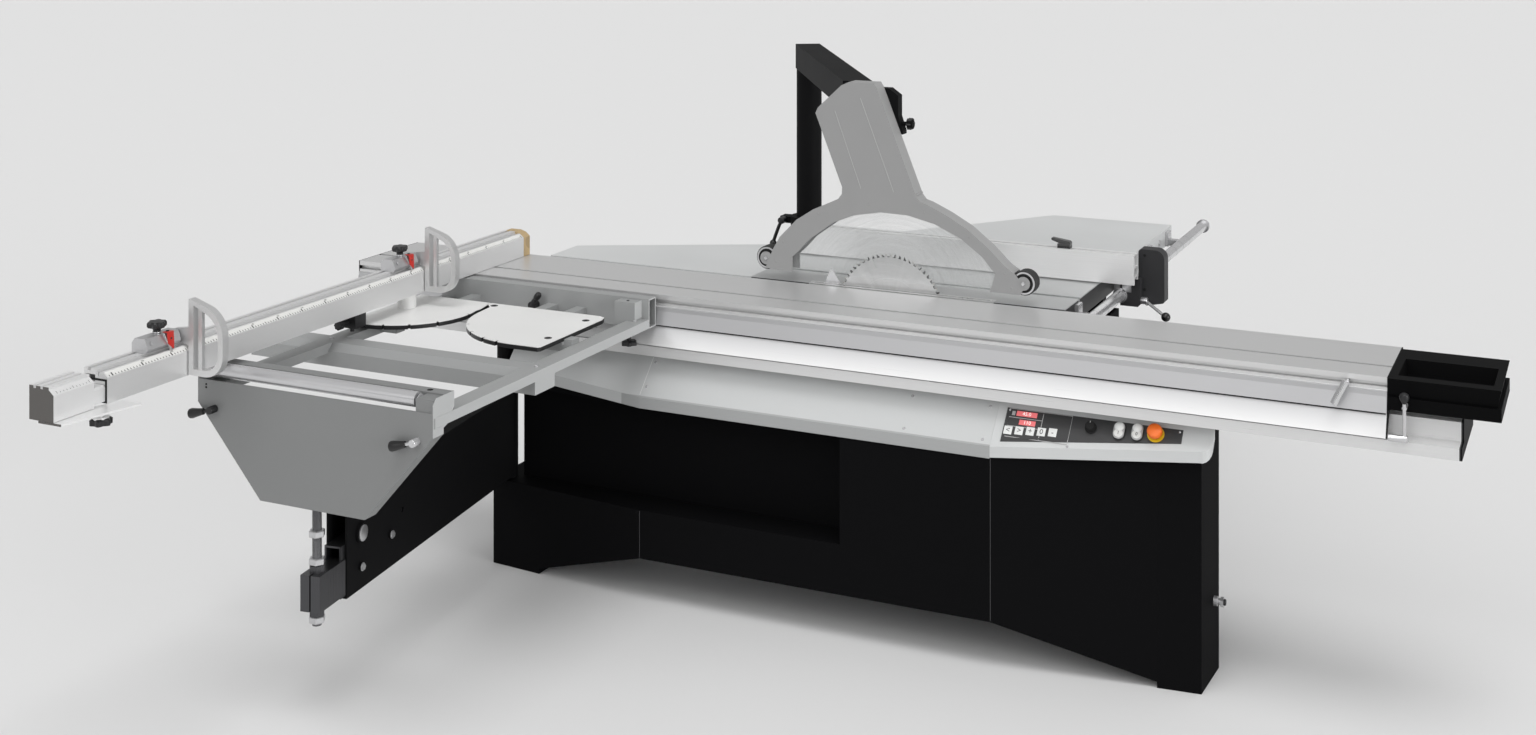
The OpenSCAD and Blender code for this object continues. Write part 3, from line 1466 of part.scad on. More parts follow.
module stop_flag(y) {
  color("#cccccc") difference() {
    union() {
      along_y(y - 4, y + 18) difference() {
        flag_outline(0);
        flag_outline(16);
      }
      // Arm to the hinge
      along_y(y - 2, y + 12) polygon([[hinge_x, hinge_z - 14], [fence_face + 10, hinge_z - 24],
        [fence_face + 10, hinge_z + 24], [hinge_x, hinge_z + 16]]);
      rod_y(y - 2, y + 12, hinge_x, hinge_z, 32);
      // Straight web inside the flag
      block([fence_face + 30, y + 2, table_h + 12], [fence_face + 42, y + 12, table_h + flag_h - 18]);
    }
    rod_y(y - 5, y + 20, hinge_x, hinge_z, 12 + 2 * fit);
  }
}

module stop_flag_near() {
  stop_flag(-stop_near_y);
}

module stop_flag_far() {
  stop_flag(-stop_far_y);
}

module stop_knob(y) {
  x = (slider_x0 + slider_x1) / 2;
  yk = y - 62;
  z = slider_z0 + 36;
  color("#0d0d0d") {
    rod_z(z - 28, z + 10, x, yk, 10);
    rod_z(z + seat, z + 16, x, yk, 20);
    rod_z(z + 16, z + 28, x, yk, 40);
    for (a = [0:60:300]) rod_z(z + 16, z + 26, x + 19 * cos(a), yk + 19 * sin(a), 14);
  }
}

module stop_knob_near() {
  stop_knob(-stop_near_y);
}

module stop_knob_far() {
  stop_knob(-stop_far_y);
}

// SUPPORT ARM

module on_arm() {
  translate([arm_x, -arm_y, 0]) rotate([0, 0, arm_turn]) children();
}

module swing_arm() {
  w = arm_w / 2;
  wall = 5;
  hub_r = arm_hub_d / 2;
  color("#0f0f11") on_arm() {
    difference() {
      union() {
        rod_z(plinth_h + seat, beam_low - 20, 0, 0, arm_hub_d);
        block([-w, -arm_l, arm_low], [w, 0, arm_top]);
      }
      rod_z(plinth_h - cut, beam_low - 19, 0, 0, arm_post_d + 2 * fit);
      // Hollow for the telescopic bar
      block([-w + wall, -arm_l - cut, arm_low + wall], [w - wall, -hub_r - 20, arm_top - wall]);
      // Round hole in the right cheek
      rod_x(w - wall - cut, w + cut, -arm_l + 300, (arm_low + arm_top) / 2, 14);
    }
    // Boss and bolt heads near the tip
    rod_x(w, w + 8, -arm_l + 70, arm_low + 150, 52);
    for (p = [[70, 60], [230, 90]]) rod_x(w, w + 7, -arm_l + p[0], arm_low + p[1], 22);
  }
}

slider_gap = 1;
bar_z0 = arm_low + 5 + slider_gap;
bar_z1 = arm_top - 5 - slider_gap;
spindle_y = -1137;
spindle_x = 0;

module arm_slider() {
  w = arm_w / 2 - 5 - slider_gap;
  color("#b8babd") on_arm() {
    difference() {
      union() {
        // Telescopic bar inside the arm
        difference() {
          block([-w, -arm_l - 20, bar_z0], [w, -110, bar_z1 - 120]);
          block([-w + 5, -arm_l - 21, bar_z0 + 5], [w - 5, -109, bar_z1 - 125]);
        }
        // Head that clamps the spindle
        block([-w - 4, spindle_y - 34, arm_low + 12], [w + 4, -arm_l - 3, arm_low + 105]);
      }
      block([-2, spindle_y - 36, arm_low + 11], [2, spindle_y, arm_low + 106]);
    }
    // Height spindle with its nuts
    rod_z(arm_low - 32, panel_low - 12, spindle_x, spindle_y, spindle_d);
    for (z = [arm_low - 6, arm_low + 105]) translate([spindle_x, spindle_y, z])
      cylinder(h = 18, d = 42, $fn = 6);
    rod_z(panel_low - 12, panel_low - 1.5, spindle_x, spindle_y, 34);
  }
}

// RIP FENCE

rail_brackets = [110, 560, 1010, 1290];
carrier_y1 = rip_y + 100;

module rip_rail() {
  color("#b2b5b8") {
    rod_y(20, rail_rear, rail_x, rail_z, rail_d);
    rod_y(rail_rear - 10, rail_end_y, rail_x, rail_z, rail_d + 12);
  }
  color("#141414") for (y = rail_brackets) {
    edge = y > main_rear ? main_right - 7 : main_right;
    block([edge + seat, y - 22, table_h - skirt_h + 2], [edge + 12, y + 22, table_h - 8]);
    block([edge + 12 - cut, y - 16, rail_z - 16], [rail_x - rail_d / 2 + 4, y + 16, rail_z + 4]);
  }
}

module rip_carrier() {
  x0 = rail_x - 41;
  x1 = rail_x + 63;
  r = rail_d / 2;
  z0 = rail_z - r - 14;
  z1 = table_h + 103;
  color("#0f0f11") difference() {
    union() {
      // Clamp beside the rail
      along_y(rip_y + rip_w + 0.5, carrier_y1) polygon([[rail_x, z0], [x1 - 8, z0], [x1, z0 + 8], [x1, table_h + 14.5],
        [rail_x, table_h + 14.5]]);
      // Rounded end casting
      along_y(rip_y + rip_w + 24, carrier_y1 + 24) hull() {
        translate([x1 - 2, z1 - 10]) circle(10, $fn = 32);
        translate([x1 + 39, z1 - 30]) circle(30, $fn = 48);
        translate([x1 + 61, z0 + 20]) circle(8, $fn = 32);
        translate([x1 + 14, z0 + 8]) circle(6, $fn = 32);
        translate([x1 - 6, z0 + 40]) circle(6, $fn = 32);
      }
    }
    rod_y(rip_y, carrier_y1 + cut, rail_x, rail_z, rail_d + 2 * fit);
    // Bore of the clamp lever
    rod_x(x1 - 20, x1 + 1, carrier_y1 - 40, rail_z - 12, 10 + 2 * fit);
  }
  // Shoe that holds the profile
  color("#808285") {
    block([x0 + 2, rip_y + 10, table_h + 6.5], [x1 - 40, rip_y + rip_w - 8, table_h + 6.5 + 18]);
    block([x0 + 2, rip_y + 10, table_h + 6.5], [x1 - 40, rip_y + rip_w + 1, table_h + 6.5 + 8]);
  }
}

module rip_profile() {
  x1 = rail_x + 56;
  x0 = x1 - rip_l;
  z0 = table_h + 5;
  z1 = z0 + rip_h;
  w = rip_w;
  color("#bdbfc2") along_x(x0, x1) difference() {
    polygon([[rip_y, z0], [rip_y + 9.5, z0], [rip_y + 9.5, z0 + 20], [rip_y + w - 7.5, z0 + 20], [rip_y + w - 7.5, z0 + 10],
        [rip_y + w, z0 + 10], [rip_y + w, z1], [rip_y, z1]]);
    translate([rip_y + 4, z0 + 24]) square([w - 8, 26]);
    translate([rip_y + 4, z0 + 54]) square([w - 8, rip_h - 58]);
    translate([rip_y + w / 2 - 5, z1 - 5]) square([10, 6]);
  }
  // Cam lever on top
  color("#0d0d0d") {
    block([x1 - 245, rip_y + 12, z1], [x1 - 205, rip_y + 38, z1 + 14]);
    hull() {
      rod_y(rip_y + 14, rip_y + 36, x1 - 212, z1 + 15, 16);
      rod_y(rip_y + 18, rip_y + 32, x1 - 262, z1 + 26, 9);
    }
  }
}

module rip_lever() {
  x1 = rail_x + 63;
  y = carrier_y1 - 40;
  z = rail_z - 12;
  color("#b2b5b8") {
    rod_x(x1 - 19, x1 + 1, y, z, 10);
    rod_x(x1 + seat, x1 + 20, y, z, 22);
    translate([x1 + 14, y, z]) rotate([0, 108, -36]) cylinder(h = 96, d = 10);
  }
  color("#0d0d0d") translate([x1 + 14, y, z]) rotate([0, 108, -36]) up(98) sphere(d = 28, $fn = 24);
}

moved() base_cabinet();
moved() fascia_band();
moved() control_housing();
moved() control_panel();
moved() main_table();
moved() slot_insert();
moved() left_extension();
moved() rip_extension();
moved() fixed_beam();
moved() beam_supports();
moved() arm_post();
moved() rip_rail();
moved() post_socket();
moved() dust_duct();
moved() saw_frame();
moved() cable_gland();
moved() saw_saddle();
moved() drive_motor();
moved() drive_belt();
moved() riving_knife();
moved() saw_blade();
moved() arbor();
moved() motor_pulley();
moved() scoring_blade();
moved() guard_arm();
moved() guard_lever();
moved() hood_shell();
moved() hood_windows();
moved() hood_roller_front();
moved() hood_roller_rear();
moved() carriage_table();
moved() carriage_ends();
moved() end_tray();
moved() latch_lever();
moved() lock_handle();
moved() outrigger_frame();
moved() end_panel();
moved() outrigger_roller();
moved() angle_plates();
moved() outrigger_lever();
moved() panel_lever_left();
moved() panel_lever_right();
moved() crosscut_fence();
moved() fence_end_block();
moved() fence_extension();
moved() stop_slider_near();
moved() stop_slider_far();
moved() stop_flag_near();
moved() stop_flag_far();
moved() stop_knob_near();
moved() stop_knob_far();
moved() swing_arm();
moved() arm_slider();
moved() rip_carrier();
moved() rip_profile();
moved() rip_lever();
moved() start_button();
moved() stop_button();
moved() emergency_stop();
moved() selector_knob();
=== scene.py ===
"""Sliding table panel saw: finishes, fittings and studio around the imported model."""
import math

import bmesh
import bpy
from mathutils import Matrix, Vector


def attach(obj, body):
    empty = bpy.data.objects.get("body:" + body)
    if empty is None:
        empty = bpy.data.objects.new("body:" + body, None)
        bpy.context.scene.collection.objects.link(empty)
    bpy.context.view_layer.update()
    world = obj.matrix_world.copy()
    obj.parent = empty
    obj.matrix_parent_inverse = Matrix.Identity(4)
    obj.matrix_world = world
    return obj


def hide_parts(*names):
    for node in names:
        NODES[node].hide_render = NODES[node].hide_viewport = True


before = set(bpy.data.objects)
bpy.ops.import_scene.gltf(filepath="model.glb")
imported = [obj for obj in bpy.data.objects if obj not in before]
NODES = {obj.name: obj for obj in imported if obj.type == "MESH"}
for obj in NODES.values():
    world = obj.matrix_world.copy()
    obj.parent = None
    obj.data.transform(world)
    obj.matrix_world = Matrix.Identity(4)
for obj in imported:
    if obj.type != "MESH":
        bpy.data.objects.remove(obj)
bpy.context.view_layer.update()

bl_info = {
    "name": "Sliding table panel saw",
    "version": (1, 0, 0),
    "blender": (4, 5, 0),
    "location": "3D View > Sidebar > Panel saw",
    "description": "Builds the finishes, the fittings and the studio of a sliding table panel saw",
    "category": "Object",
}

# The drawings of the saw have the blade at the origin. The model's origin is this far from it, in mm.
SHIFT = Vector((16.5, -234.0, 0.0))
MM = 0.001
X, Y, Z = (1, 0, 0), (0, 1, 0), (0, 0, 1)

# Places that several fittings share, in the drawing's millimetres
FASCIA_LOW = Vector((0.0, -413.0, 609.0))
FASCIA_ANGLE = math.atan(1.054)
FASCIA_OUT = Matrix.Rotation(FASCIA_ANGLE, 3, "X") @ Vector(Z)
ARM_PIVOT = Vector((-1170.0, -315.0, 0.0))
ARM_TURN = math.radians(8.0)
PANEL_Y = -1500.0
FENCE_FACE = -1265.0
FENCE_Z = 901.0
FENCE_NEAR, FENCE_FAR = -1905.0, -75.0
# The fence's sloping face: where it starts, and which way it falls
FENCE_SLOPE_Z = FENCE_Z + 62
FENCE_SLOPE = Vector((15, 0, -12)).normalized()
STOPS = {"near": -1630.0, "far": -623.0}
ARBOR = (0.0, 0.0, 835.0)
SCORER = (245.0, 0.0, 842.0)
HOOD_WHEELS = {"front": 428.0, "rear": -404.0}
HOOD_WHEEL_Z = 966.0
RIP_RAIL = (605.0, 860.0)
PLATE_TOP = 860.0
FOIL = 1.6
BUTTONS = {"start": (798, 87), "stop": (847, 90), "emergency": (895, 93)}
SELECTOR = (720, 86)
MATERIALS = {}
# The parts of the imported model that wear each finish
WORN = {
    "cabinet_paint": "base_cabinet",
    "post_paint": "arm_post",
    "outrigger_paint": "outrigger_frame",
    "fence_metal": "crosscut_fence",
    "black_paint": "beam_supports post_socket guard_arm carriage_ends swing_arm",
    "carrier_paint": "rip_carrier",
    "fascia_paint": "fascia_band",
    "housing_paint": "control_housing",
    "panel_paint": "end_panel",
    "hood_paint": "hood_shell",
    "table_paint": "left_extension rip_extension",
    "unit_paint": "saw_frame saw_saddle drive_motor",
    "cast_table": "main_table",
    "carriage_metal": "carriage_table",
    "alu_x": "slot_insert",
    "beam_metal": "fixed_beam",
    "rip_metal": "rip_profile",
    "extension_metal": "fence_extension",
    "polished": "lock_handle",
    "steel_x": "outrigger_roller riving_knife",
    "steel_y": "rip_rail arbor motor_pulley",
    "jack_steel": "arm_slider",
    "steel_z": "latch_lever",
    "zinc": "cable_gland stop_slider_near stop_slider_far",
    "white_plate": "angle_plates",
    "flag_cast": "stop_flag_near stop_flag_far",
    "saw_steel": "saw_blade",
    "score_steel": "scoring_blade",
    "tray_black": "end_tray",
    "black_plastic": "dust_duct guard_lever outrigger_lever panel_lever_left panel_lever_right stop_knob_near "
                     "stop_knob_far rip_lever selector_knob",
    "rubber": "drive_belt hood_roller_front hood_roller_rear",
    "clear_sheet": "hood_windows",
    "hardwood": "fence_end_block",
    "panel_foil": "control_panel",
    "white_plastic": "start_button stop_button",
    "orange_plastic": "emergency_stop",
}


def to_world(point):
    """A point of the drawing, in mm, as a place in the model, in metres."""
    return (Vector(point) - SHIFT) * MM


# ---------------------------------------------------------------- shader maths


class Number:
    """A number in a material that takes part in Python arithmetic."""

    def __init__(self, graph, socket):
        self.graph = graph
        self.socket = socket

    def _math(self, operation, first, second=0.0):
        return self.graph.add("ShaderNodeMath", {"operation": operation}, {0: first, 1: second})

    def __add__(self, other):
        return self._math("ADD", self, other)

    def __radd__(self, other):
        return self._math("ADD", other, self)

    def __sub__(self, other):
        return self._math("SUBTRACT", self, other)

    def __rsub__(self, other):
        return self._math("SUBTRACT", other, self)

    def __mul__(self, other):
        return self._math("MULTIPLY", self, other)

    def __rmul__(self, other):
        return self._math("MULTIPLY", other, self)

    def __truediv__(self, other):
        return self._math("DIVIDE", self, other)

    def above(self, limit):
        return self._math("GREATER_THAN", self, limit)

    def below(self, limit):
        return self._math("LESS_THAN", self, limit)

    def root(self):
        return self._math("SQRT", self)

    def sine(self):
        return self._math("SINE", self)

    def fraction(self):
        return self._math("FRACT", self)

    def angle_to(self, other):
        return self._math("ARCTAN2", self, other)


class Graph:
    """The nodes of one material, or of the world."""

    def __init__(self, name, owner=None):
        self.owner = owner or bpy.data.materials.new(name)
        self.owner.use_nodes = True
        self.tree = self.owner.node_tree
        self.tree.nodes.clear()
        self.place = None

    def feed(self, socket, value):
        """Links a socket to what gives its value, or sets the value on it."""
        if isinstance(value, Number):
            value = value.socket
        if hasattr(value, "is_output"):
            self.tree.links.new(value, socket)
        else:
            socket.default_value = value

    def add(self, kind, settings=None, inputs=None, output=0):
        """Adds a node: its settings first, then the values or links of its sockets."""
        node = self.tree.nodes.new(kind)
        for key, value in (settings or {}).items():
            setattr(node, key, value)
        for key, value in (inputs or {}).items():
            self.feed(node.inputs[key], value)
        if not node.outputs:
            return node
        out = node.outputs[output]
        return Number(self, out) if out.type == "VALUE" else out

    def position(self):
        """The place on the piece, in metres, as a vector and as three numbers."""
        if self.place is None:
            vector = self.add("ShaderNodeTexCoord", output="Object")
            split = self.tree.nodes.new("ShaderNodeSeparateXYZ")
            self.tree.links.new(vector, split.inputs[0])
            self.place = (vector, *[Number(self, split.outputs[i]) for i in range(3)])
        return self.place

    def scaled(self, scale):
        vector = self.position()[0]
        return self.add("ShaderNodeVectorMath", {"operation": "MULTIPLY"}, {0: vector, 1: scale})

    def noise(self, scale, detail=3.0, vector=None):
        vector = vector if vector is not None else self.position()[0]
        return self.add("ShaderNodeTexNoise", {},
                        {"Vector": vector, "Scale": scale, "Detail": detail, "Roughness": 0.55})

    def waves(self, value, detail=2.0):
        """Noise that changes with one number only."""
        return self.add("ShaderNodeTexNoise", {"noise_dimensions": "1D"}, {"W": value, "Scale": 1.0, "Detail": detail})

    def from_centre(self, centre):
        """The distance to an axis along y, and the direction from it as an angle."""
        _, x, _, z = self.position()
        middle = to_world(centre)
        dx, dz = x - middle.x, z - middle.z
        return (dx * dx + dz * dz).root(), dz.angle_to(dx)

    def mix(self, factor, first, second):
        """Two colours mixed by a factor."""
        node = self.tree.nodes.new("ShaderNodeMix")
        node.data_type = "RGBA"
        for key, value in ((0, factor), (6, rgba(first)), (7, rgba(second))):
            self.feed(node.inputs[key], value)
        return node.outputs[2]

    def bump(self, height, strength, distance):
        return self.add("ShaderNodeBump", {}, {"Height": height, "Strength": strength, "Distance": distance})

    def zone(self, low, high):
        """1 inside a box given by two corners in the drawing's mm, 0 outside."""
        _, *axes = self.position()
        mask = 1.0
        for axis, a, b in zip(axes, to_world(low), to_world(high)):
            mask = mask * axis.above(a) * axis.below(b)
        return mask

    def surface(self, colour, roughness=0.5, metallic=0.0, normal=None, **fixed):
        """The one shader of the material. What is in fixed is the same all over."""
        inputs = {"Base Color": rgba(colour), "Roughness": roughness, "Metallic": metallic}
        inputs.update(fixed)
        if normal is not None:
            inputs["Normal"] = normal
        shader = self.add("ShaderNodeBsdfPrincipled", {}, inputs)
        self.add("ShaderNodeOutputMaterial", {}, {0: shader})
        return self.owner


def rgba(colour):
    if hasattr(colour, "is_output"):
        return colour
    return (*tuple(colour)[:3], 1.0)


def shade(colour, factor):
    return tuple(min(1.0, c * factor) for c in tuple(colour)[:3])


# ---------------------------------------------------------------- finishes


def powder_coat(name, colour, roughness, grain=0.35, shine=0.5):
    """Stoved powder paint: fine orange peel and slight unevenness of gloss and tone."""
    g = Graph(name)
    peel = g.noise(900.0, 2.0)
    cloud = g.noise(3.0, 2.0)
    tone = g.mix(cloud, shade(colour, 0.93), shade(colour, 1.07))
    return g.surface(tone, roughness + 0.08 * (cloud - 0.5) + 0.06 * (peel - 0.5), 0.0,
                     g.bump(peel, grain, 0.0002), **{"Specular IOR Level": shine})


def brushed(name, colour, roughness, along, metallic=0.7, depth=0.12):
    """Metal with fine marks that run along one axis."""
    g = Graph(name)
    scale = {"x": (3.0, 700.0, 700.0), "y": (700.0, 3.0, 700.0), "z": (700.0, 700.0, 3.0)}[along]
    marks = g.noise(1.0, 3.0, g.scaled(scale))
    cloud = g.noise(2.2, 2.0)
    tone = g.mix(marks, shade(colour, 0.9), shade(colour, 1.06))
    tone = g.mix(0.25 * cloud, tone, shade(colour, 0.86))
    return g.surface(tone, roughness + 0.16 * (marks - 0.5) + 0.1 * (cloud - 0.5), metallic,
                     g.bump(marks, depth, 0.0002))


def blade_steel(name, colour, centre, tip):
    """Ground disc: rings round the arbor, pale tips, and dark painted shade in the gaps between the teeth."""
    g = Graph(name)
    radius, angle = g.from_centre(centre)
    rings = g.waves(radius * 900.0)
    glints = g.waves(angle * 6.0)
    tips = radius.above(tip * MM)
    # Painted shade in the gaps between the teeth
    tooth_gap_shade = radius.above((tip - 4.0) * MM) * (angle * 60.0).sine().above(0.1)
    tone = g.mix(0.5 * rings + 0.5 * glints, shade(colour, 0.75), shade(colour, 1.1))
    tone = g.mix(tips, tone, (0.5, 0.49, 0.47))
    tone = g.mix(tooth_gap_shade, tone, (0.02, 0.02, 0.02))
    return g.surface(tone, 0.24 + 0.14 * rings, 1.0, g.bump(rings, 0.12, 0.0001))


def moulded(name, colour, roughness, coat=0.0):
    """Moulded plastic with a fine spark grain."""
    g = Graph(name)
    grain = g.noise(1300.0, 2.0)
    cloud = g.noise(30.0, 2.0)
    tone = g.mix(cloud, shade(colour, 0.9), shade(colour, 1.1))
    return g.surface(tone, roughness + 0.1 * (grain - 0.5), 0.0, g.bump(grain, 0.2, 0.00015),
                     **{"Coat Weight": coat, "Coat Roughness": 0.15})


def rubber(name, colour):
    g = Graph(name)
    dust = g.noise(60.0, 4.0)
    grain = g.noise(800.0, 2.0)
    tone = g.mix(dust, colour, shade(colour, 1.9))
    return g.surface(tone, 0.62 + 0.2 * (dust - 0.5), 0.0, g.bump(grain, 0.3, 0.0002))


def clear_sheet(name, colour, centre):
    """Clear polycarbonate with curved wiping marks."""
    g = Graph(name)
    radius, _ = g.from_centre(centre)
    bend = g.noise(3.0, 2.0)
    wipes = g.waves(radius * 60.0 + bend * 5.0, 3.0)
    marks = wipes * g.noise(5.0, 2.0)
    tone = g.mix(marks, shade(colour, 0.9), colour)
    return g.surface(tone, 0.1 + 0.2 * marks, 0.0, g.bump(wipes, 0.03, 0.0001), Alpha=0.025 + 0.22 * marks,
                     **{"Specular IOR Level": 0.4})


def hardwood(name, colour):
    g = Graph(name)
    bend = g.noise(5.0, 2.0)
    rings = (g.position()[1] * 260.0 + 9.0 * bend).fraction()
    pores = g.noise(1.0, 3.0, g.scaled((900.0, 60.0, 900.0)))
    tone = g.mix(rings, shade(colour, 0.72), colour)
    tone = g.mix(0.4 * pores, tone, shade(colour, 0.55))
    return g.surface(tone, 0.55 + 0.15 * pores, 0.0, g.bump(pores, 0.2, 0.0002))


def glowing(name, colour, strength):
    g = Graph(name)
    return g.surface(shade(colour, 0.5), 0.3, 0.0, **{"Emission Color": rgba(colour), "Emission Strength": strength})


def zoned(name, base, parts, brush, shade_fade=None, **fixed):
    """A finish of one colour with other colours and finishes in some boxes of the drawing, and painted light and shade
    in others.

    base and each part give colour, roughness and metallic; a part has its two corners before them.
    With brush, fine marks run along the machine. The last argument is a box of painted shade, whose colour deepens
    towards its top."""
    g = Graph(name)
    grain = g.noise(1.0, 3.0, g.scaled((3.0, 600.0, 600.0))) if brush else g.noise(700.0, 2.0)
    cloud = g.noise(2.4, 3.0)
    colour, roughness, metallic = base
    colour = g.mix(grain, shade(colour, 0.92), shade(colour, 1.05))
    colour = g.mix(0.3 * cloud, colour, shade(base[0], 0.84))
    for low, high, part_colour, part_roughness, part_metallic in parts:
        mask = g.zone(low, high)
        colour = g.mix(mask, colour, part_colour)
        roughness = mask * (part_roughness - roughness) + roughness
        metallic = mask * (part_metallic - metallic) + metallic
    # Painted shade: the colour deepens towards the top of the box.
    if shade_fade:
        low, high, top_colour = shade_fade
        bottom, top = to_world(low).z, to_world(high).z
        rise = (g.position()[3] - bottom) / (top - bottom)
        colour = g.mix(g.zone(low, high) * rise, colour, top_colour)
    return g.surface(colour, roughness + 0.12 * (grain - 0.5), metallic, g.bump(grain, 0.12, 0.0002), **fixed)


# ---------------------------------------------------------------- meshes


# How an outline's two numbers and the third one make a point, for a form drawn out along x, y or z
ALONG = {"x": lambda u, v, w: (w, u, v), "y": lambda u, v, w: (u, w, v), "z": lambda u, v, w: (u, v, w)}


def circle(count):
    return [2 * math.pi * k / count for k in range(count)]


def disc(radius, count, x=0.0, y=0.0):
    """The outline of a circle."""
    return [(x + radius * math.cos(a), y + radius * math.sin(a)) for a in circle(count)]


class Fitting:
    """A piece under construction, in the drawing's millimetres, with a finish for each face."""

    def __init__(self):
        self.mesh = bmesh.new()
        self.finishes = []

    def place(self, before, finish, matrix=None):
        """Moves what was added since before, and gives it its finish."""
        self.mesh.verts.index_update()
        fresh = {v for v in self.mesh.verts if v not in before}
        if matrix is not None:
            bmesh.ops.transform(self.mesh, matrix=matrix, verts=[v for v in self.mesh.verts if v in fresh])
        if finish not in self.finishes:
            self.finishes.append(finish)
        for face in self.mesh.faces:
            if face.verts[0] in fresh:
                face.material_index = self.finishes.index(finish)

    def loops(self, outlines, axis):
        """The points of several outlines, each at its own place along an axis."""
        return [[self.mesh.verts.new(ALONG[axis](u, v, w)) for u, v in outline] for outline, w in outlines]

    def sides(self, rings):
        """Faces between each ring of points and the next."""
        for low, high in zip(rings, rings[1:]):
            for i in range(len(low)):
                j = (i + 1) % len(low)
                self.mesh.faces.new((low[i], low[j], high[j], high[i]))

    def caps(self, rings):
        self.mesh.faces.new(list(reversed(rings[0])))
        self.mesh.faces.new(rings[-1])

    def turn_outward(self, before):
        faces = [f for f in self.mesh.faces if f.verts[0] not in before]
        bmesh.ops.recalc_face_normals(self.mesh, faces=faces)

    def break_edges(self, before, width, flat=None):
        """Rounds the new edges, or with flat only those that bend more than that angle."""
        edges = [e for e in self.mesh.edges
                 if e.verts[0] not in before and (flat is None or e.calc_face_angle(0.0) > flat)]
        if width:
            bmesh.ops.bevel(self.mesh, geom=edges, offset=width, segments=2, profile=0.7, affect="EDGES")

    def block(self, low, high, finish, bevel=0.0, matrix=None):
        """A box between two corners. A bevel breaks its edges."""
        before = set(self.mesh.verts)
        low, high = Vector(low), Vector(high)
        bmesh.ops.create_cube(self.mesh, size=1.0)
        for v in self.mesh.verts:
            if v not in before:
                v.co = Vector([a + (b - a) * (c + 0.5) for a, b, c in zip(low, high, v.co)])
        self.break_edges(before, bevel)
        self.place(before, finish, matrix)

    def lathe(self, profile, base, axis, finish, steps=32, lobes=0, lobe_depth=0.0):
        """A turned form. The profile gives radius and height along the axis; lobes make a star knob."""
        before = set(self.mesh.verts)
        rings = []
        for radius, height in profile:
            ring = []
            for a in circle(steps):
                r = radius * (1 + lobe_depth * math.cos(lobes * a)) if lobes else radius
                ring.append(self.mesh.verts.new((r * math.cos(a), r * math.sin(a), height)))
            rings.append(ring)
        self.sides(rings)
        self.caps(rings)
        matrix = Matrix.Translation(Vector(base)) @ Vector(axis).to_track_quat("Z", "Y").to_matrix().to_4x4()
        self.place(before, finish, matrix)

    def prism(self, outline, axis, start, end, finish, bevel=0.0, matrix=None):
        """A flat outline drawn out along x, y or z."""
        before = set(self.mesh.verts)
        ends = self.loops([(outline, start), (outline, end)], axis)
        self.sides(ends)
        self.caps(ends)
        self.turn_outward(before)
        self.break_edges(before, bevel)
        self.place(before, finish, matrix)

    def ring(self, outer, inner, axis, start, end, finish, bevel=0.0, matrix=None):
        """A flat frame between two outlines with the same number of points."""
        before = set(self.mesh.verts)
        loops = self.loops(((outer, start), (outer, end), (inner, end), (inner, start)), axis)
        self.sides(loops + loops[:1])
        self.turn_outward(before)
        self.break_edges(before, bevel, 0.6)
        self.place(before, finish, matrix)

    def washer(self, centre, outer, inner, count, axis, start, end, finish, bevel=0.0, matrix=None):
        """A flat round ring."""
        self.ring(disc(outer, count, *centre), disc(inner, count, *centre), axis, start, end, finish, bevel, matrix)

    def pipe(self, points, radius, finish, steps=16):
        """A round bar along a line of points."""
        before = set(self.mesh.verts)
        points = [Vector(p) for p in points]
        rings = []
        for i, point in enumerate(points):
            ahead = points[min(i + 1, len(points) - 1)] - points[max(i - 1, 0)]
            turn = ahead.to_track_quat("Z", "Y").to_matrix()
            rings.append([self.mesh.verts.new(point + turn @ Vector((x, y, 0))) for x, y in disc(radius, steps)])
        self.sides(rings)
        self.caps(rings)
        self.place(before, finish)

    def ball(self, centre, radius, finish, axis=Z):
        """A round grip."""
        steps = 14
        angles = [math.pi * k / steps for k in range(steps + 1)]
        profile = [(max(0.01, radius * math.sin(a)), -radius * math.cos(a)) for a in angles]
        self.lathe(profile, centre, axis, finish, 28)

    def cap_screw(self, point, axis, radius, finish, height=None):
        """A socket head screw."""
        height = height if height is not None else radius * 0.7
        profile = [(radius * 0.55, 0.0), (radius, 0.0), (radius, height * 0.8), (radius * 0.9, height),
                   (radius * 0.5, height), (radius * 0.5, height * 0.45), (0.01, height * 0.45)]
        self.lathe(profile, point, axis, finish, 18)

    def hex_nut(self, point, axis, radius, height, finish):
        self.lathe([(radius * 0.9, 0.0), (radius, height * 0.12), (radius, height * 0.88), (radius * 0.9, height)],
                   point, axis, finish, 6)

    def text(self, words, size, matrix, finish, thickness=0.2):
        """Small generic figures, as thin raised letters."""
        curve = bpy.data.curves.new("figures", "FONT")
        curve.body = words
        curve.size = size
        curve.align_x = "CENTER"
        curve.align_y = "CENTER"
        curve.extrude = thickness / 2
        curve.resolution_u = 2
        holder = bpy.data.objects.new("figures", curve)
        solid = bpy.data.meshes.new_from_object(holder)
        solid.transform(matrix)
        before = set(self.mesh.verts)
        self.mesh.from_mesh(solid)
        bpy.data.objects.remove(holder)
        bpy.data.curves.remove(curve)
        bpy.data.meshes.remove(solid)
        self.place(before, finish)

    def make(self, name, body, replaces=(), smooth=35.0):
        """Turns the fitting into an object that rides on a body."""
        for v in self.mesh.verts:
            v.co = to_world(v.co)
        data = bpy.data.meshes.new(name)
        self.mesh.to_mesh(data)
        self.mesh.free()
        for finish in self.finishes:
            data.materials.append(MATERIALS[finish])
        data.shade_smooth()
        data.set_sharp_from_angle(angle=math.radians(smooth))
        piece = bpy.data.objects.new(name, data)
        bpy.context.scene.collection.objects.link(piece)
        if replaces:
            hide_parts(*replaces)
        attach(piece, body)
        return piece


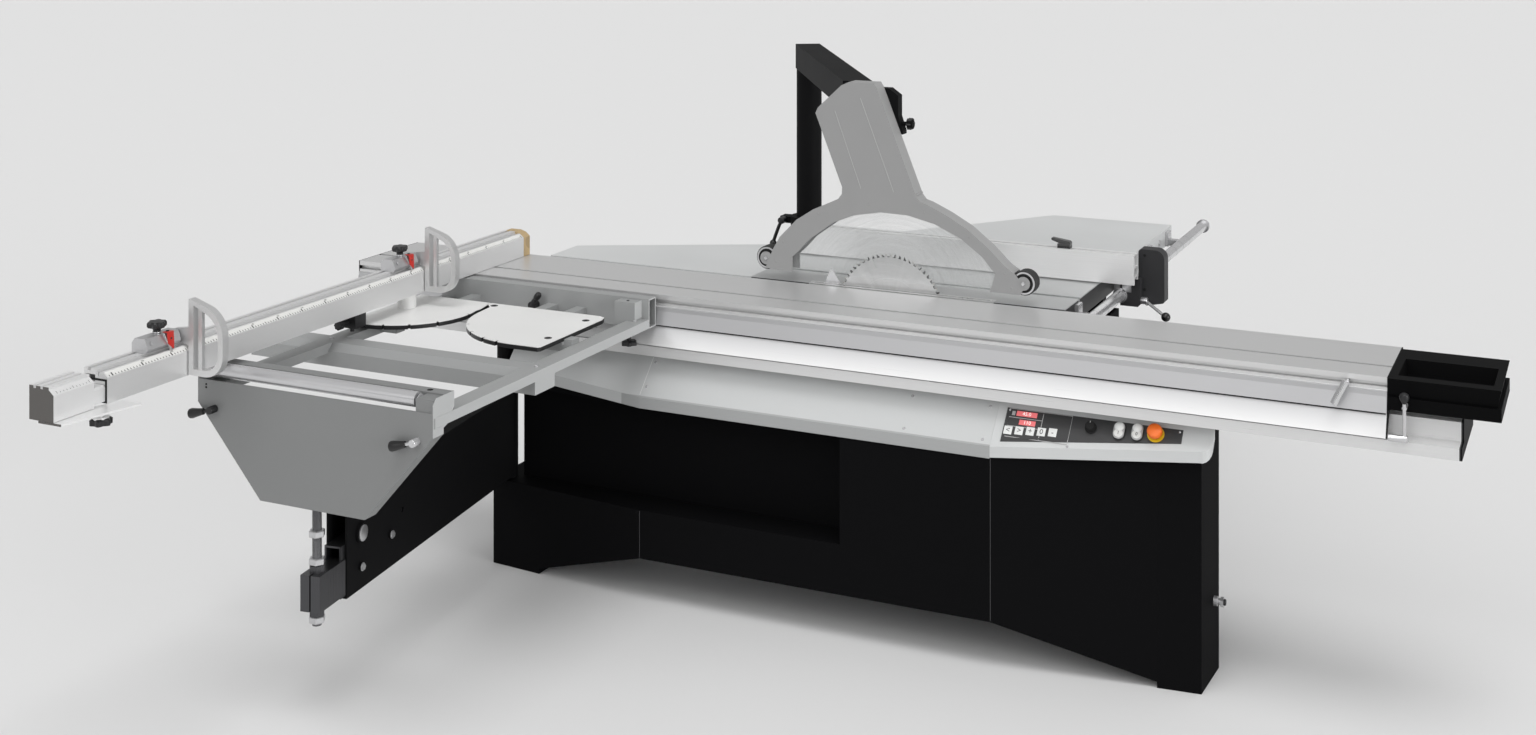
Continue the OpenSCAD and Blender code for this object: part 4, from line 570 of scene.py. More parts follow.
def on_fascia(x, up=0.0, out=0.0):
    """The frame of the fascia plane: its y runs up the slope and its z points out."""
    turn = Matrix.Rotation(FASCIA_ANGLE, 4, "X")
    return Matrix.Translation(FASCIA_LOW + Vector((x, 0, 0))) @ turn @ Matrix.Translation((0, up, out))


def on_arm(point):
    """A point given along the swing arm, in the drawing."""
    return ARM_PIVOT + Matrix.Rotation(ARM_TURN, 3, "Z") @ Vector(point)


# ---------------------------------------------------------------- settings


def colour_setting(name, description, default):
    return bpy.props.FloatVectorProperty(name=name, description=description, subtype="COLOR", size=3, default=default,
                                         min=0, max=1)


class SawColours(bpy.types.PropertyGroup):
    """Colours of the saw's finishes"""

    black: colour_setting("Black paint", "Cabinet, arm and guard boom", (0.006, 0.006, 0.0065))
    grey: colour_setting("Grey paint", "Fascia, outrigger and end panel", (0.52, 0.53, 0.53))
    hood: colour_setting("Hood paint", "Blade hood", (0.3, 0.3, 0.3))
    metal: colour_setting("Aluminium", "Carriage, fences and beam", (0.78, 0.78, 0.78))
    accent: colour_setting("Emergency stop", "Cap of the emergency stop", (0.85, 0.16, 0.01))


class SawStudio(bpy.types.PropertyGroup):
    """Camera and light of the studio"""

    camera_place: bpy.props.FloatVectorProperty(
        name="Camera place", description="Where the camera stands", subtype="TRANSLATION", unit="LENGTH", size=3,
        default=(2.0456, -5.0121, 2.2035))
    camera_turn: bpy.props.FloatProperty(
        name="Camera turn", description="Turn of the level camera about the upright", subtype="ANGLE",
        default=math.radians(25.24))
    lens: bpy.props.FloatProperty(
        name="Lens", description="Focal length on a 36 mm frame, in mm", default=43.39, min=10, max=200)
    backdrop: colour_setting("Backdrop", "Colour of floor and background", (0.72, 0.72, 0.72))


# ---------------------------------------------------------------- operators


class Step:
    """One step of the saw's build, as a button."""

    def execute(self, context):
        self.build(context.scene)
        return {"FINISHED"}


class SAW_OT_finishes(Step, bpy.types.Operator):
    """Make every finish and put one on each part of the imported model"""

    bl_idname = "saw.finishes"
    bl_label = "Finishes"

    def build(self, scene):
        c = scene.saw_colours
        metal = tuple(c.metal)
        black, dark = tuple(c.black), (0.012, 0.012, 0.013)

        def finish(maker, name, *values, **fixed):
            MATERIALS[name] = maker(name, *values, **fixed)

        finish(powder_coat, "black_paint", black, 0.6, 0.35, 0.07)
        finish(powder_coat, "tray_black", shade(black, 0.5), 0.6, 0.2, 0.05)
        # Its right side face is darker, as painted shade, and rougher.
        finish(zoned, "cabinet_paint", (black, 0.6, 0.0),
               [((1040, -600, 0), (1060, 700, 850), shade(black, 0.4), 0.97, 0.0)], False,
               **{"Specular IOR Level": 0.015})
        # The lower fold of the fascia is darker: painted shade.
        finish(zoned, "fascia_paint", (shade(c.grey, 1.1), 0.45, 0.0),
               [((-2000, -600, 400), (2000, -412.5, 608.6), shade(c.grey, 0.72), 0.45, 0.0)], False)
        finish(powder_coat, "housing_paint", shade(c.grey, 1.12), 0.45)
        finish(powder_coat, "grey_paint", shade(c.grey, 0.62), 0.42)
        # The right faces of the clamp block and of the rails are lighter: painted light from the side.
        finish(zoned, "outrigger_paint", (shade(c.grey, 0.62), 0.42, 0.0),
               [((-1335, -700, 853), (-1268, -630, 901), (0.75, 0.75, 0.74), 0.4, 0.0),
                ((-635.8, -1490, 810), (-634, -340, 841), shade(c.grey, 0.62), 0.42, 0.0),
                ((-635.8, -460, 842), (-634, -405, 893), shade(c.grey, 0.95), 0.42, 0.0),
                ((-610.8, -1490, 775), (-609, -340, 900), shade(c.grey, 0.95), 0.42, 0.0)], False)
        finish(zoned, "fence_metal", (metal, 0.34, 0.5),
               [((-1400, -2100, 800), (-1200, 0, 900.8), dark, 0.5, 0.0)], True)
        finish(powder_coat, "post_paint", (0.022, 0.022, 0.023), 0.3, 0.2, 0.6)
        # The end panel is the grey paint darkened, as painted shade, with its right cheek lightened, as painted light.
        finish(zoned, "panel_paint", (shade(c.grey, 0.42), 0.45, 0.0),
               [((-610.8, -1500, 700), (-609, -1400, 900), shade(c.grey, 0.95), 0.45, 0.0)], False)
        finish(powder_coat, "hood_paint", shade(c.hood, 1.05), 0.42, 0.25, 0.35)
        finish(powder_coat, "table_paint", (0.6, 0.61, 0.61), 0.45)
        finish(powder_coat, "unit_paint", (0.1, 0.13, 0.17), 0.5)
        finish(zoned, "cast_table", ((0.56, 0.57, 0.57), 0.36, 0.6),
               [((547.5, -60, 800), (560, 700, 896.5), dark, 0.5, 0.0),
                ((-600, -16.6, 800), (600, -15.4, 898.5), dark, 0.5, 0.0)], True)
        # The near face above the skirt is darker, and the skirt's colour deepens towards its top: painted shade.
        finish(zoned, "carriage_metal", (shade(metal, 0.92), 0.34, 0.6),
               [((-2000, -500, 700), (2000, -353, 811.5), (0.76, 0.76, 0.76), 0.3, 0.2),
                ((-2000, -500, 811.5), (2000, -353.5, 896), (0.5, 0.5, 0.51), 0.34, 0.5)], True,
               ((-2000, -500, 752), (2000, -353, 811.5), (0.52, 0.52, 0.53)))
        finish(zoned, "beam_metal", (shade(metal, 0.95), 0.3, 0.4),
               [((1656.5, -500, 700), (1700, 0, 830), dark, 0.5, 0.0),
                ((-1700, -500, 700), (-1536.5, 0, 830), dark, 0.5, 0.0)], True)
        finish(zoned, "rip_metal", ((0.86, 0.86, 0.86), 0.34, 0.35),
               [((395, 330, 996.3), (460, 420, 1004.0), dark, 0.4, 0.0),
                ((395, 330, 1004.0), (460, 420, 1100.0), (0.1, 0.1, 0.1), 0.3, 0.6)], True)
        finish(zoned, "extension_metal", ((0.86, 0.86, 0.86), 0.34, 0.4),
               [((-1400, -2100, 800), (-1100, -2071.5, 1100), (0.09, 0.085, 0.08), 0.5, 0.0)], True)
        finish(powder_coat, "carrier_paint", (0.035, 0.035, 0.037), 0.5, 0.3, 0.2)
        finish(brushed, "jack_steel", (0.09, 0.09, 0.095), 0.3, "z", 0.85)
        finish(brushed, "polished", (0.75, 0.75, 0.76), 0.13, "x", 1.0, 0.05)
        finish(brushed, "alu_x", metal, 0.34, "x")
        finish(brushed, "steel_x", (0.66, 0.66, 0.67), 0.24, "x")
        finish(brushed, "steel_y", (0.66, 0.66, 0.67), 0.22, "y")
        finish(brushed, "steel_z", (0.66, 0.66, 0.67), 0.26, "z")
        finish(brushed, "zinc", (0.6, 0.6, 0.61), 0.32, "z", 0.8, 0.25)
        # Lighter hood paint for the beads: painted highlight
        finish(powder_coat, "hood_bead", shade(c.hood, 1.35), 0.4)
        finish(powder_coat, "white_plate", (0.8, 0.8, 0.79), 0.36, 0.15)
        finish(brushed, "flag_cast", (0.74, 0.74, 0.74), 0.42, "z", 0.85, 0.3)
        finish(blade_steel, "saw_steel", (0.62, 0.62, 0.62), ARBOR, 168.0)
        finish(blade_steel, "score_steel", (0.62, 0.62, 0.62), SCORER, 55.0)
        finish(moulded, "black_plastic", (0.008, 0.008, 0.009), 0.4, 0.05)
        finish(moulded, "black_gloss", (0.006, 0.006, 0.006), 0.3, 0.1)
        finish(moulded, "white_plastic", (0.78, 0.79, 0.78), 0.3, 0.3)
        finish(moulded, "orange_plastic", c.accent, 0.42, 0.1)
        finish(moulded, "yellow_plastic", (0.8, 0.55, 0.02), 0.35)
        finish(moulded, "red_plastic", (0.55, 0.02, 0.012), 0.35, 0.2)
        finish(moulded, "panel_foil", (0.035, 0.035, 0.036), 0.4, 0.1)
        finish(rubber, "rubber", (0.012, 0.012, 0.012))
        finish(clear_sheet, "clear_sheet", (0.8, 0.82, 0.82), (0.0, 0.0, 860.0))
        finish(hardwood, "hardwood", (0.56, 0.41, 0.22))
        finish(moulded, "seam_dark", (0.002, 0.002, 0.002), 0.8)
        # Slightly lighter strips along joints and bends: painted highlight
        finish(moulded, "seam_edge", (0.06, 0.06, 0.065), 0.5)
        finish(moulded, "ink", (0.03, 0.03, 0.03), 0.5)
        finish(moulded, "white_ink", (0.7, 0.7, 0.7), 0.5)
        finish(powder_coat, "scale_tape", (0.72, 0.72, 0.7), 0.4, 0.1)
        finish(glowing, "display_glow", (1.0, 0.9, 0.88), 0.75)
        finish(glowing, "display_red", (0.9, 0.2, 0.21), 0.5)
        finish(moulded, "key_grey", (0.42, 0.42, 0.42), 0.4)
        for look, names in WORN.items():
            for name in names.split():
                wear(name, MATERIALS[look])


def wear(name, material):
    """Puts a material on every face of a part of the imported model."""
    slots = NODES[name].material_slots
    if not slots:
        NODES[name].data.materials.append(material)
    for slot in slots:
        slot.material = material


class SAW_OT_studio(Step, bpy.types.Operator):
    """Set up the camera, the pale floor and the soft light"""

    bl_idname = "saw.studio"
    bl_label = "Studio"

    def build(self, scene):
        s = scene.saw_studio
        lens = bpy.data.cameras.new("camera")
        lens.lens = s.lens
        lens.sensor_width = 36.0
        lens.sensor_fit = "HORIZONTAL"
        lens.shift_y = -0.3298
        lens.clip_end = 200.0
        camera = bpy.data.objects.new("camera", lens)
        camera.location = s.camera_place
        camera.rotation_euler = (math.radians(90.0), 0.0, s.camera_turn)
        scene.collection.objects.link(camera)
        scene.camera = camera
        scene.view_settings.view_transform = "Standard"

        floor_mesh = bpy.data.meshes.new("floor")
        edge = 120.0
        floor_mesh.from_pydata([(-edge, -edge, 0), (edge, -edge, 0), (edge, edge, 0), (-edge, edge, 0)], [],
                               [(0, 1, 2, 3)])
        floor = bpy.data.objects.new("floor", floor_mesh)
        floor.location.z = -0.0005
        g = Graph("floor_paint")
        floor_mesh.materials.append(g.surface(shade(s.backdrop, 1.06), 0.9, 0.0, **{"Specular IOR Level": 0.1}))
        scene.collection.objects.link(floor)

        # The light grows brighter above; the camera sees the plain backdrop instead of it
        scene.world = bpy.data.worlds.new("studio")
        g = Graph("studio", scene.world)
        height = g.add("ShaderNodeSeparateXYZ", {}, {0: g.add("ShaderNodeTexCoord", output="Generated")}, 2)
        half = g.add("ShaderNodeMath", {"operation": "MULTIPLY_ADD"}, {0: height, 1: 0.5, 2: 0.5})
        sky = g.add("ShaderNodeMapRange", {}, {0: half, 1: 0.45, 2: 1.0, 3: 0.75, 4: 1.0})
        light = g.add("ShaderNodeBackground", {}, {0: sky, 1: 0.52})
        show = g.add("ShaderNodeBackground", {}, {0: rgba(s.backdrop)})
        seen = g.add("ShaderNodeLightPath", output="Is Camera Ray")
        g.add("ShaderNodeOutputWorld", {}, {0: g.add("ShaderNodeMixShader", {}, {0: seen, 1: light, 2: show})})

        for name, turn, power, angle in (("top light", (14, 10, 0), 1.05, 32), ("front light", (58, 0, -8), 0.85, 50),
                                         ("side light", (84, 0, 78), 1.4, 30)):
            lamp = bpy.data.lights.new(name, "SUN")
            lamp.energy = power
            lamp.angle = math.radians(angle)
            holder = bpy.data.objects.new(name, lamp)
            holder.rotation_euler = [math.radians(a) for a in turn]
            scene.collection.objects.link(holder)


class SAW_OT_controls(Step, bpy.types.Operator):
    """Displays, touch keys, buttons, emergency stop and selector"""

    bl_idname = "saw.controls"
    bl_label = "Controls"

    def build(self, scene):
        panel = Fitting()
        # Displays with their figures
        for x, up, width, words in ((509, 93, 58, "45.0"), (521, 68, 46, "110")):
            panel.block((0, 0, 0), (width, 15, 1.4), "display_red", 0.4, on_fascia(x, up, FOIL))
            panel.text(words, 14.5, on_fascia(x + width / 2, up + 7.5, FOIL + 1.5), "display_glow", 0.3)
        panel.block((0, 0, 0), (9, 12, 1.2), "key_grey", 0.3, on_fascia(496, 94, FOIL))
        # Touch keys with generic signs
        for i, sign in enumerate(("<", ">", "+", "0", "-")):
            x, up = 495 + 31 * i, 36 + 2.5 * i
            panel.block((-11.5, 0, 0), (11.5, 24, 1.5), "white_plastic", 0.5, on_fascia(x, up, FOIL))
            panel.text(sign, 21, on_fascia(x, up + 12, FOIL + 1.5), "ink", 0.3)
        # Printed frame round the displays and the keys
        lines = (((488, 61), (584, 63)), ((488, 87), (584, 89)), ((583, 30), (585, 114)), ((663, 34), (665, 114)),
                 ((488, 29), (664, 31)), ((488, 112.5), (664, 114.5)), ((487, 29), (489, 114)))
        for low, high in lines:
            panel.block((*low, 0.0), (*high, 0.25), "key_grey", 0, on_fascia(0, 0, FOIL))
        for x, up in ((488, 108), (957, 108), (666, 24)):
            panel.lathe([(3.2, 0), (3.2, 1.2), (2.4, 1.9), (0.01, 1.9)], on_fascia(x, up, FOIL).translation,
                        FASCIA_OUT, "steel_z", 16)
        panel.make("panel_fittings", "base")

        for name in ("start", "stop"):
            base = on_fascia(*BUTTONS[name])
            button = Fitting()
            outline = [(15 * math.cos(a), 15 * math.sin(a) + math.copysign(9, math.sin(a))) for a in circle(40)]
            button.prism(outline, "z", 6.2, 12.0, "key_grey", 2.0, base)
            # Pale lamp above, round key below
            button.lathe([(12.5, 0), (12.5, 2.4), (10.5, 5), (6, 6.6), (0.01, 7)], base @ Vector((0, 9, 11.8)),
                         FASCIA_OUT, "white_plastic", 32)
            button.lathe([(12, 0), (12, 1.6), (9.6, 2.2), (9.2, 1.4), (0.01, 1.4)], base @ Vector((0, -9, 11.8)),
                         FASCIA_OUT, "scale_tape", 32)
            button.text("I" if name == "start" else "0", 13, base @ Matrix.Translation((0, -9, 13.5)), "ink", 0.3)
            button.lathe([(5, -12), (5, 6)], base.translation, FASCIA_OUT, "steel_z", 20)
            button.make("button_" + name, "button_" + name, [name + "_button"])

        base = on_fascia(*BUTTONS["emergency"])
        stop = Fitting()
        stop.lathe([(5, -12), (5, 7), (14, 7), (14, 11), (18.6, 12), (20.4, 15), (20.6, 22), (18.6, 26.5), (14, 28.6),
                    (6, 29.3), (0.01, 29.4)], base.translation, FASCIA_OUT, "orange_plastic", 40)
        stop.make("emergency_cap", "button_emergency", ["emergency_stop"])
        ring = Fitting()
        ring.washer((0, 0), 23, 14, 40, "z", 0.0, 0.9, "yellow_plastic", 0.0, on_fascia(*BUTTONS["emergency"], FOIL))
        for name in ("start", "stop"):
            ring.washer((0, 0), 14, 7, 32, "z", 0.0, 0.4, "black_plastic", 0.0, on_fascia(*BUTTONS[name], FOIL))
        ring.make("button_rings", "base")

        base = on_fascia(*SELECTOR)
        knob = Fitting()
        knob.lathe([(5, -12), (5, 2), (16, 2), (16, 5), (13.5, 6), (13, 18), (11.5, 20), (0.01, 20)], base.translation,
                   FASCIA_OUT, "seam_dark", 48)
        knob.block((-0.6, 7, 19.9), (0.6, 12, 20.2), "white_ink", 0, base)
        knob.make("selector_grip", "selector", ["selector_knob"])


class SAW_OT_cabinet_trim(Step, bpy.types.Operator):
    """Screws of the fascia, seal of the cable gland, joints of the front sheets, and painted highlights along the
    fascia's bend and the joints
    """

    bl_idname = "saw.cabinet_trim"
    bl_label = "Cabinet trim"

    def build(self, scene):
        trim = Fitting()
        # A pale strip along the bend at the left third of the band: painted highlight
        trim.block((-0.7, 2, 0), (0.7, 127, 0.35), "white_plate", 0, on_fascia(-640, 0, 0))
        for x, up in ((-628, 30), (-628, 112), (-1090, 45), (-1090, 112), (200, 112), (200, 12), (430, 112), (430, 12)):
            trim.lathe([(4.2, 0), (4.2, 0.8), (3.0, 1.8), (1.4, 1.8), (1.4, 0.9), (0.01, 0.9)],
                       on_fascia(x, up, 0.0).translation, FASCIA_OUT, "steel_z", 18)
        trim.make("fascia_trim", "base")

        gland = Fitting()
        gland.lathe([(8.5, 0), (8.5, 5), (7.4, 6), (5.2, 6), (5.2, 1)], (1044.6, -205, 204), X, "black_plastic", 24)
        gland.make("gland_seal", "base")
        # Joints between the folded front sheets: a dark gap, and pale strips along a joint and a bend as painted
        # highlight
        seams = Fitting()
        seams.block((453.2, -413.6, 126), (455.0, -412.6, 603), "seam_dark")
        seams.block((455.0, -413.5, 126), (455.8, -412.7, 603), "seam_edge")
        seams.block((-640.8, -413.5, 124), (-639.6, -412.7, 264), "seam_edge")
        seams.make("cabinet_seams_and_highlights", "base")


class SAW_OT_carriage_trim(Step, bpy.types.Operator):
    """Wiper strip, end screws and latch handle of the carriage"""

    bl_idname = "saw.carriage_trim"
    bl_label = "Carriage trim"

    def build(self, scene):
        trim = Fitting()
        # Wiper strip between the cover and the skirt
        trim.prism([(-360.4, 812.2), (-364.8, 812.2), (-366.2, 809.0), (-362.0, 809.6)], "x", -1715, 1481, "seam_dark")
        for y in (-330, -200, -60):
            trim.cap_screw((1486, y, 876), X, 5.5, "zinc", 3.0)
        trim.make("carriage_trim", "carriage")

        lever = Fitting()
        lever.pipe([(1529, -396, 758), (1529, -396, 858)], 4.5, "steel_z")
        lever.lathe([(9, 0), (9, 44), (8, 46), (0.01, 46)], (1491, -396, 762), X, "steel_x", 28)
        lever.lathe([(5, -4), (7, 0), (11, 6), (12.5, 13), (11, 19), (6, 23), (0.01, 24)], (1529, -396, 854), Z,
                    "black_plastic", 28)
        lever.pipe([(1529, -396, 838), (1529, -353, 838)], 6, "steel_y")
        lever.make("latch_handle", "latch", ["latch_lever"])


class SAW_OT_outrigger_trim(Step, bpy.types.Operator):
    """Pull levers, clamp lever, screws and the knob under the rail of the outrigger"""

    bl_idname = "saw.outrigger_trim"
    bl_label = "Outrigger trim"

    def build(self, scene):
        for side, x in (("left", -1295.0), ("right", -656.0)):
            pull = Fitting()
            slope = Vector((-math.sin(math.radians(104)), 0, math.cos(math.radians(104))))
            root = Vector((x, PANEL_Y - 18, 778.0))
            pull.lathe([(6, 0), (6, 44)], (x, PANEL_Y - 24, 778), Y, "steel_y", 24)
            pull.lathe([(9, 0), (10, 1.5), (10, 24.5)], (x, PANEL_Y - 25, 778), Y,
                       "steel_x" if side == "right" else "black_plastic", 28)
            pull.lathe([(12, 0), (12, 9)], (x, PANEL_Y + 4.4, 778), Y, "steel_y", 24)
            pull.pipe([root, root + slope * 30], 4.5, "steel_x" if side == "right" else "black_plastic")
            pull.lathe([(6, 22), (8.2, 24), (8.8, 30), (11.5, 50), (13.4, 62), (12.6, 67.5), (8, 70), (0.01, 70)],
                       root, slope, "black_gloss", 28)
            pull.make("pull_lever_" + side, "pull_" + side, ["panel_lever_" + side])

        clamp = Fitting()
        clamp.lathe([(6.9, 0), (6.9, 55)], (-1004, -426, 844), Y, "steel_y", 24)
        clamp.lathe([(8, 0), (13, 2), (13, 29)], (-1004, -440, 844), Y, "black_plastic", 28)
        clamp.pipe([(-1004, -434, 844), (-998, -436, 856), (-988, -436, 868)], 7.5, "black_plastic")
        clamp.lathe([(6, 0), (9.4, 3), (10.6, 10), (9.8, 19), (6, 24), (0.01, 25)], (-990, -436, 866), (0.62, 0, 0.78),
                    "black_gloss", 28)
        clamp.make("clamp_handle", "outrigger_clamp", ["outrigger_lever"])

        frame_trim = Fitting()
        # Star knob under the rail tube
        frame_trim.lathe([(7, 0), (7, 48)], (-683, -400, 764), Z, "black_plastic", 20)
        frame_trim.lathe([(12, 0), (22, 2), (22, 12), (17, 16), (0.01, 16)], (-683, -400, 750), Z,
                         "black_plastic", 60, 6, 0.13)
        for x in (-1326, -638):
            frame_trim.cap_screw((x, -445, 837), Z, 6, "zinc")
            frame_trim.cap_screw((x, -988, 837), Z, 6, "zinc")
        frame_trim.cap_screw((-670, -430, 892), Z, 4.5, "seam_dark", 1.0)
        # Post and bracket under the right plate
        frame_trim.block((-727, -560, 837), (-701, -536, 851.8), "grey_paint", 1.0)
        frame_trim.block((-712, -770, 837), (-690, -748, 851.8), "grey_paint", 1.0)
        frame_trim.make("outrigger_fittings", "carriage")

        panel = Fitting()
        # Screws, plug, pad and bearings of the roller bar
        for z in (838, 830):
            panel.cap_screw((-1325, PANEL_Y, z), (0, -1, 0), 2.6, "seam_dark", 1.0)
        panel.prism(disc(8, 20, -668, -1430), "z", 884.8, 885.3, "seam_dark")
        panel.block((-1353.4, -1446, 848), (-1352.8, -1414, 882), "black_plastic", 0.1)
        for x, d in ((-1349.2, 1), (-664.2, -1)):
            panel.lathe([(15, 0), (15, 2.2), (9, 2.6), (6, 2.6)], (x, PANEL_Y + 26, 872), (d, 0, 0), "steel_y", 28)
        panel.make("panel_fittings_outrigger", "carriage")


class SAW_OT_angle_plates(Step, bpy.types.Operator):
    """The two white plates with black edges, notches and bushes"""

    bl_idname = "saw.angle_plates"
    bl_label = "Angle plates"

    def build(self, scene):
        top = PLATE_TOP
        plates = Fitting()
        right = ([(-690, -548), (-690, -882), (-697, -890), (-780, -891)],
                 (-780, -604), 287, range(269, 183, -2), (259, 247, 231, 213),
                 [(-1073, -560), (-1104, -526), (-1095, -515), (-716, -515), (-697, -524)])
        left = ([(-1102, -515), (-1086, -590)], (-1300, -665), 219, range(14, -106, -2), (2, -30, -52, -72, -88),
                [(-1358, -872), (-1358, -515)])
        for head, centre, radius, course, notches, tail in (right, left):
            outline = list(head)
            half = math.copysign(0.95, course.step)
            for degrees in course:
                spots = [(degrees, radius)]
                if any(abs(degrees - n) < 1.01 for n in notches):
                    spots = [(degrees - half, radius), (degrees - half, radius - 9), (degrees + half, radius - 9),
                             (degrees + half, radius)]
                for spot, r in spots:
                    a = math.radians(spot)
                    outline.append((centre[0] + r * math.cos(a), centre[1] + r * math.sin(a)))
            outline += tail
            plates.prism(outline, "z", top - 2.0, top, "white_plate")
            plates.prism(outline, "z", 846.5, top - 2.0, "black_plastic")
        for x, y in ((-1070, -541), (-727, -579), (-721, -795)):
            plates.washer((x, y), 11, 6.4, 28, "z", top - 3, top + 0.8, "black_plastic")
            plates.lathe([(6.3, 0), (6.3, 0.3)], (x, y, top), Z, "seam_dark", 24)
        plates.make("notched_plates", "carriage", ["angle_plates"])


def tick(fitting, start, length, half_width):
    """A thin dark stroke on the sloping face of the fence, from its lower edge upwards."""
    start = Vector(start)
    end = start - FENCE_SLOPE * length
    lift = Vector((12, 0, 15)).normalized() * 0.3
    before = set(fitting.mesh.verts)
    fitting.mesh.faces.new([fitting.mesh.verts.new(point + Vector((0, side, 0)) + lift) for point, side in
                            ((start, -half_width), (start, half_width), (end, half_width), (end, -half_width))])
    fitting.place(before, "ink")


class SAW_OT_fence_marks(Step, bpy.types.Operator):
    """Scale tape, figures, index knob and extension details of the crosscut fence"""

    bl_idname = "saw.fence_marks"
    bl_label = "Crosscut fence trim"

    def build(self, scene):
        face, z0 = FENCE_FACE, FENCE_SLOPE_Z
        scale = Fitting()
        # Tape on the sloping face
        tape = [(face - 1.6, z0 + 1.0), (face - 1.3, z0 + 1.4), (face - 13.7, z0 + 11.3), (face - 14.0, z0 + 11.0)]
        scale.prism(tape, "y", FENCE_NEAR + 4, FENCE_FAR - 4, "scale_tape")
        for k in range(182):
            long = 9.5 if k % 10 == 0 else (7.0 if k % 5 == 0 else 5.0)
            tick(scale, (face - 1.4, FENCE_FAR - 10 - 10 * k, z0 + 1.3), long, 2.0 if k % 10 == 0 else 1.1)
        up, across = -FENCE_SLOPE, Vector(Y)
        out = across.cross(up)
        basis = Matrix((across, up, out)).transposed().to_4x4()
        for k in range(1, 18):
            spot = Vector((face - 10.6, FENCE_FAR - 10 - 100 * k + 6, z0 + 8.6)) + out * 0.4
            scale.text(str(k * 10), 6.5, Matrix.Translation(spot) @ basis, "ink", 0.15)
        scale.make("fence_scale", "fence")

        index = Fitting()
        index.lathe([(8, 0), (13, 1), (13, 14), (10, 17), (0.01, 17)], (-1300, -993, 877), Y, "black_plastic",
                    48, 8, 0.08)
        index.ring([(-1339, FENCE_Z + 1), (-1266, FENCE_Z + 1), (-1266, z0 - 4), (-1339, z0 - 4)],
                   [(-1333, FENCE_Z + 6), (-1272, FENCE_Z + 6), (-1272, z0 - 9), (-1333, z0 - 9)],
                   "y", FENCE_NEAR - 0.8, FENCE_NEAR - 0.1, "seam_dark")
        index.make("index_knob", "fence")

        tip = Fitting()
        tip.lathe([(12, 0), (24, 2), (24.5, 14), (19, 18), (0.01, 18)], (-1240, -1950, 866), Z, "black_plastic",
                  60, 6, 0.12)
        # Scale of the head
        for k in range(11):
            tick(tip, (face - 2.4, -1957 - 10 * k, z0 + 2.2), 8.0 if k % 5 == 0 else 4.5, 0.5)
        tip.make("extension_knob", "fence_ext")


class SAW_OT_stops(Step, bpy.types.Operator):
    """The two stops: flag, slider details and star knob"""

    bl_idname = "saw.stops"
    bl_label = "Fence stops"

    def build(self, scene):
        for side, y in STOPS.items():
            seat = (-1311.5, y - 62.0, 1017.5)
            knob = Fitting()
            knob.lathe([(5, -28), (5, 1), (11, 1), (11, 4)], seat, Z, "steel_z", 28)
            knob.lathe([(9.5, 4), (10, 9), (13, 12)], seat, Z, "black_plastic", 36)
            knob.lathe([(13, 12), (20, 14.5), (22.5, 18), (22.5, 26), (19.5, 29.5), (0.01, 30.4)], seat,
                       Z, "black_plastic", 60, 6, 0.12)
            knob.make("star_knob_" + side, "knob_" + side, ["stop_knob_" + side])

            slider = Fitting()
            flag = ((-62, 119.2), (-40, 119.2), (-38, 92), (-39, 75), (-44, 78), (-58, 92))
            slider.prism([(y + across, FENCE_Z + up) for across, up in flag], "x", -1279.6, -1276.6, "red_plastic", 0.6)
            slider.lathe([(2.6, 0), (2.6, 1.2), (0.01, 1.3)], (-1276.8, y - 49, FENCE_Z + 104), X, "ink", 16)
            cap = ((-62, 119.5), (-40, 119.5), (-40, 121), (-62, 121))
            slider.prism([(y + across, FENCE_Z + up) for across, up in cap], "x", -1294, -1276.4, "red_plastic", 0.4)
            slider.cap_screw((-1287, y - 51, FENCE_Z + 121), Z, 4, "seam_dark", 2.0)
            slider.cap_screw((-1284, y - 108, FENCE_Z + 104), (0.9, 0, 0.2), 5, "zinc", 2.0)
            slider.make("stop_pointer_" + side, "slider_" + side)

            hinge = Fitting()
            hinge.lathe([(9.5, 0), (9.5, 3), (8, 4.5), (0.01, 4.5)], (-1307, y + 14, 999.5), Y, "black_plastic", 28)
            hinge.make("stop_pin_" + side, "slider_" + side)


class SAW_OT_arm_trim(Step, bpy.types.Operator):
    """Bolts, boss, thread and nuts of the support arm"""

    bl_idname = "saw.arm_trim"
    bl_label = "Support arm trim"

    def build(self, scene):
        side = on_arm(X) - ARM_PIVOT
        arm = Fitting()
        arm.lathe([(21, 0), (21, 3), (17, 5), (0.01, 5)], on_arm((38, -970, 425)), side, "zinc", 32)
        for along, z in ((-970, 335), (-810, 365)):
            arm.lathe([(8.5, 0), (8.5, 5)], on_arm((37, along, z)), side, "zinc", 6)
            arm.lathe([(11, 0), (11, 1.4)], on_arm((37, along, z)), side, "zinc", 24)
        arm.make("arm_bolts", "arm")

        bar = Fitting()
        # Thread of the spindle as close rings, below and above the head block
        for low, high in ((244, 287), (399, 547)):
            rings = [(radius, z + rise) for z in range(low, high, 2) for radius, rise in ((11.2, 0), (12.3, 1))]
            bar.lathe(rings, on_arm((0, -1137, 0)), Z, "zinc", 28)
        for z in (250, 399, 470):
            bar.hex_nut(on_arm((0, -1137, z)), Z, 21.5, 17, "zinc")
        bar.make("spindle_thread", "arm_bar")


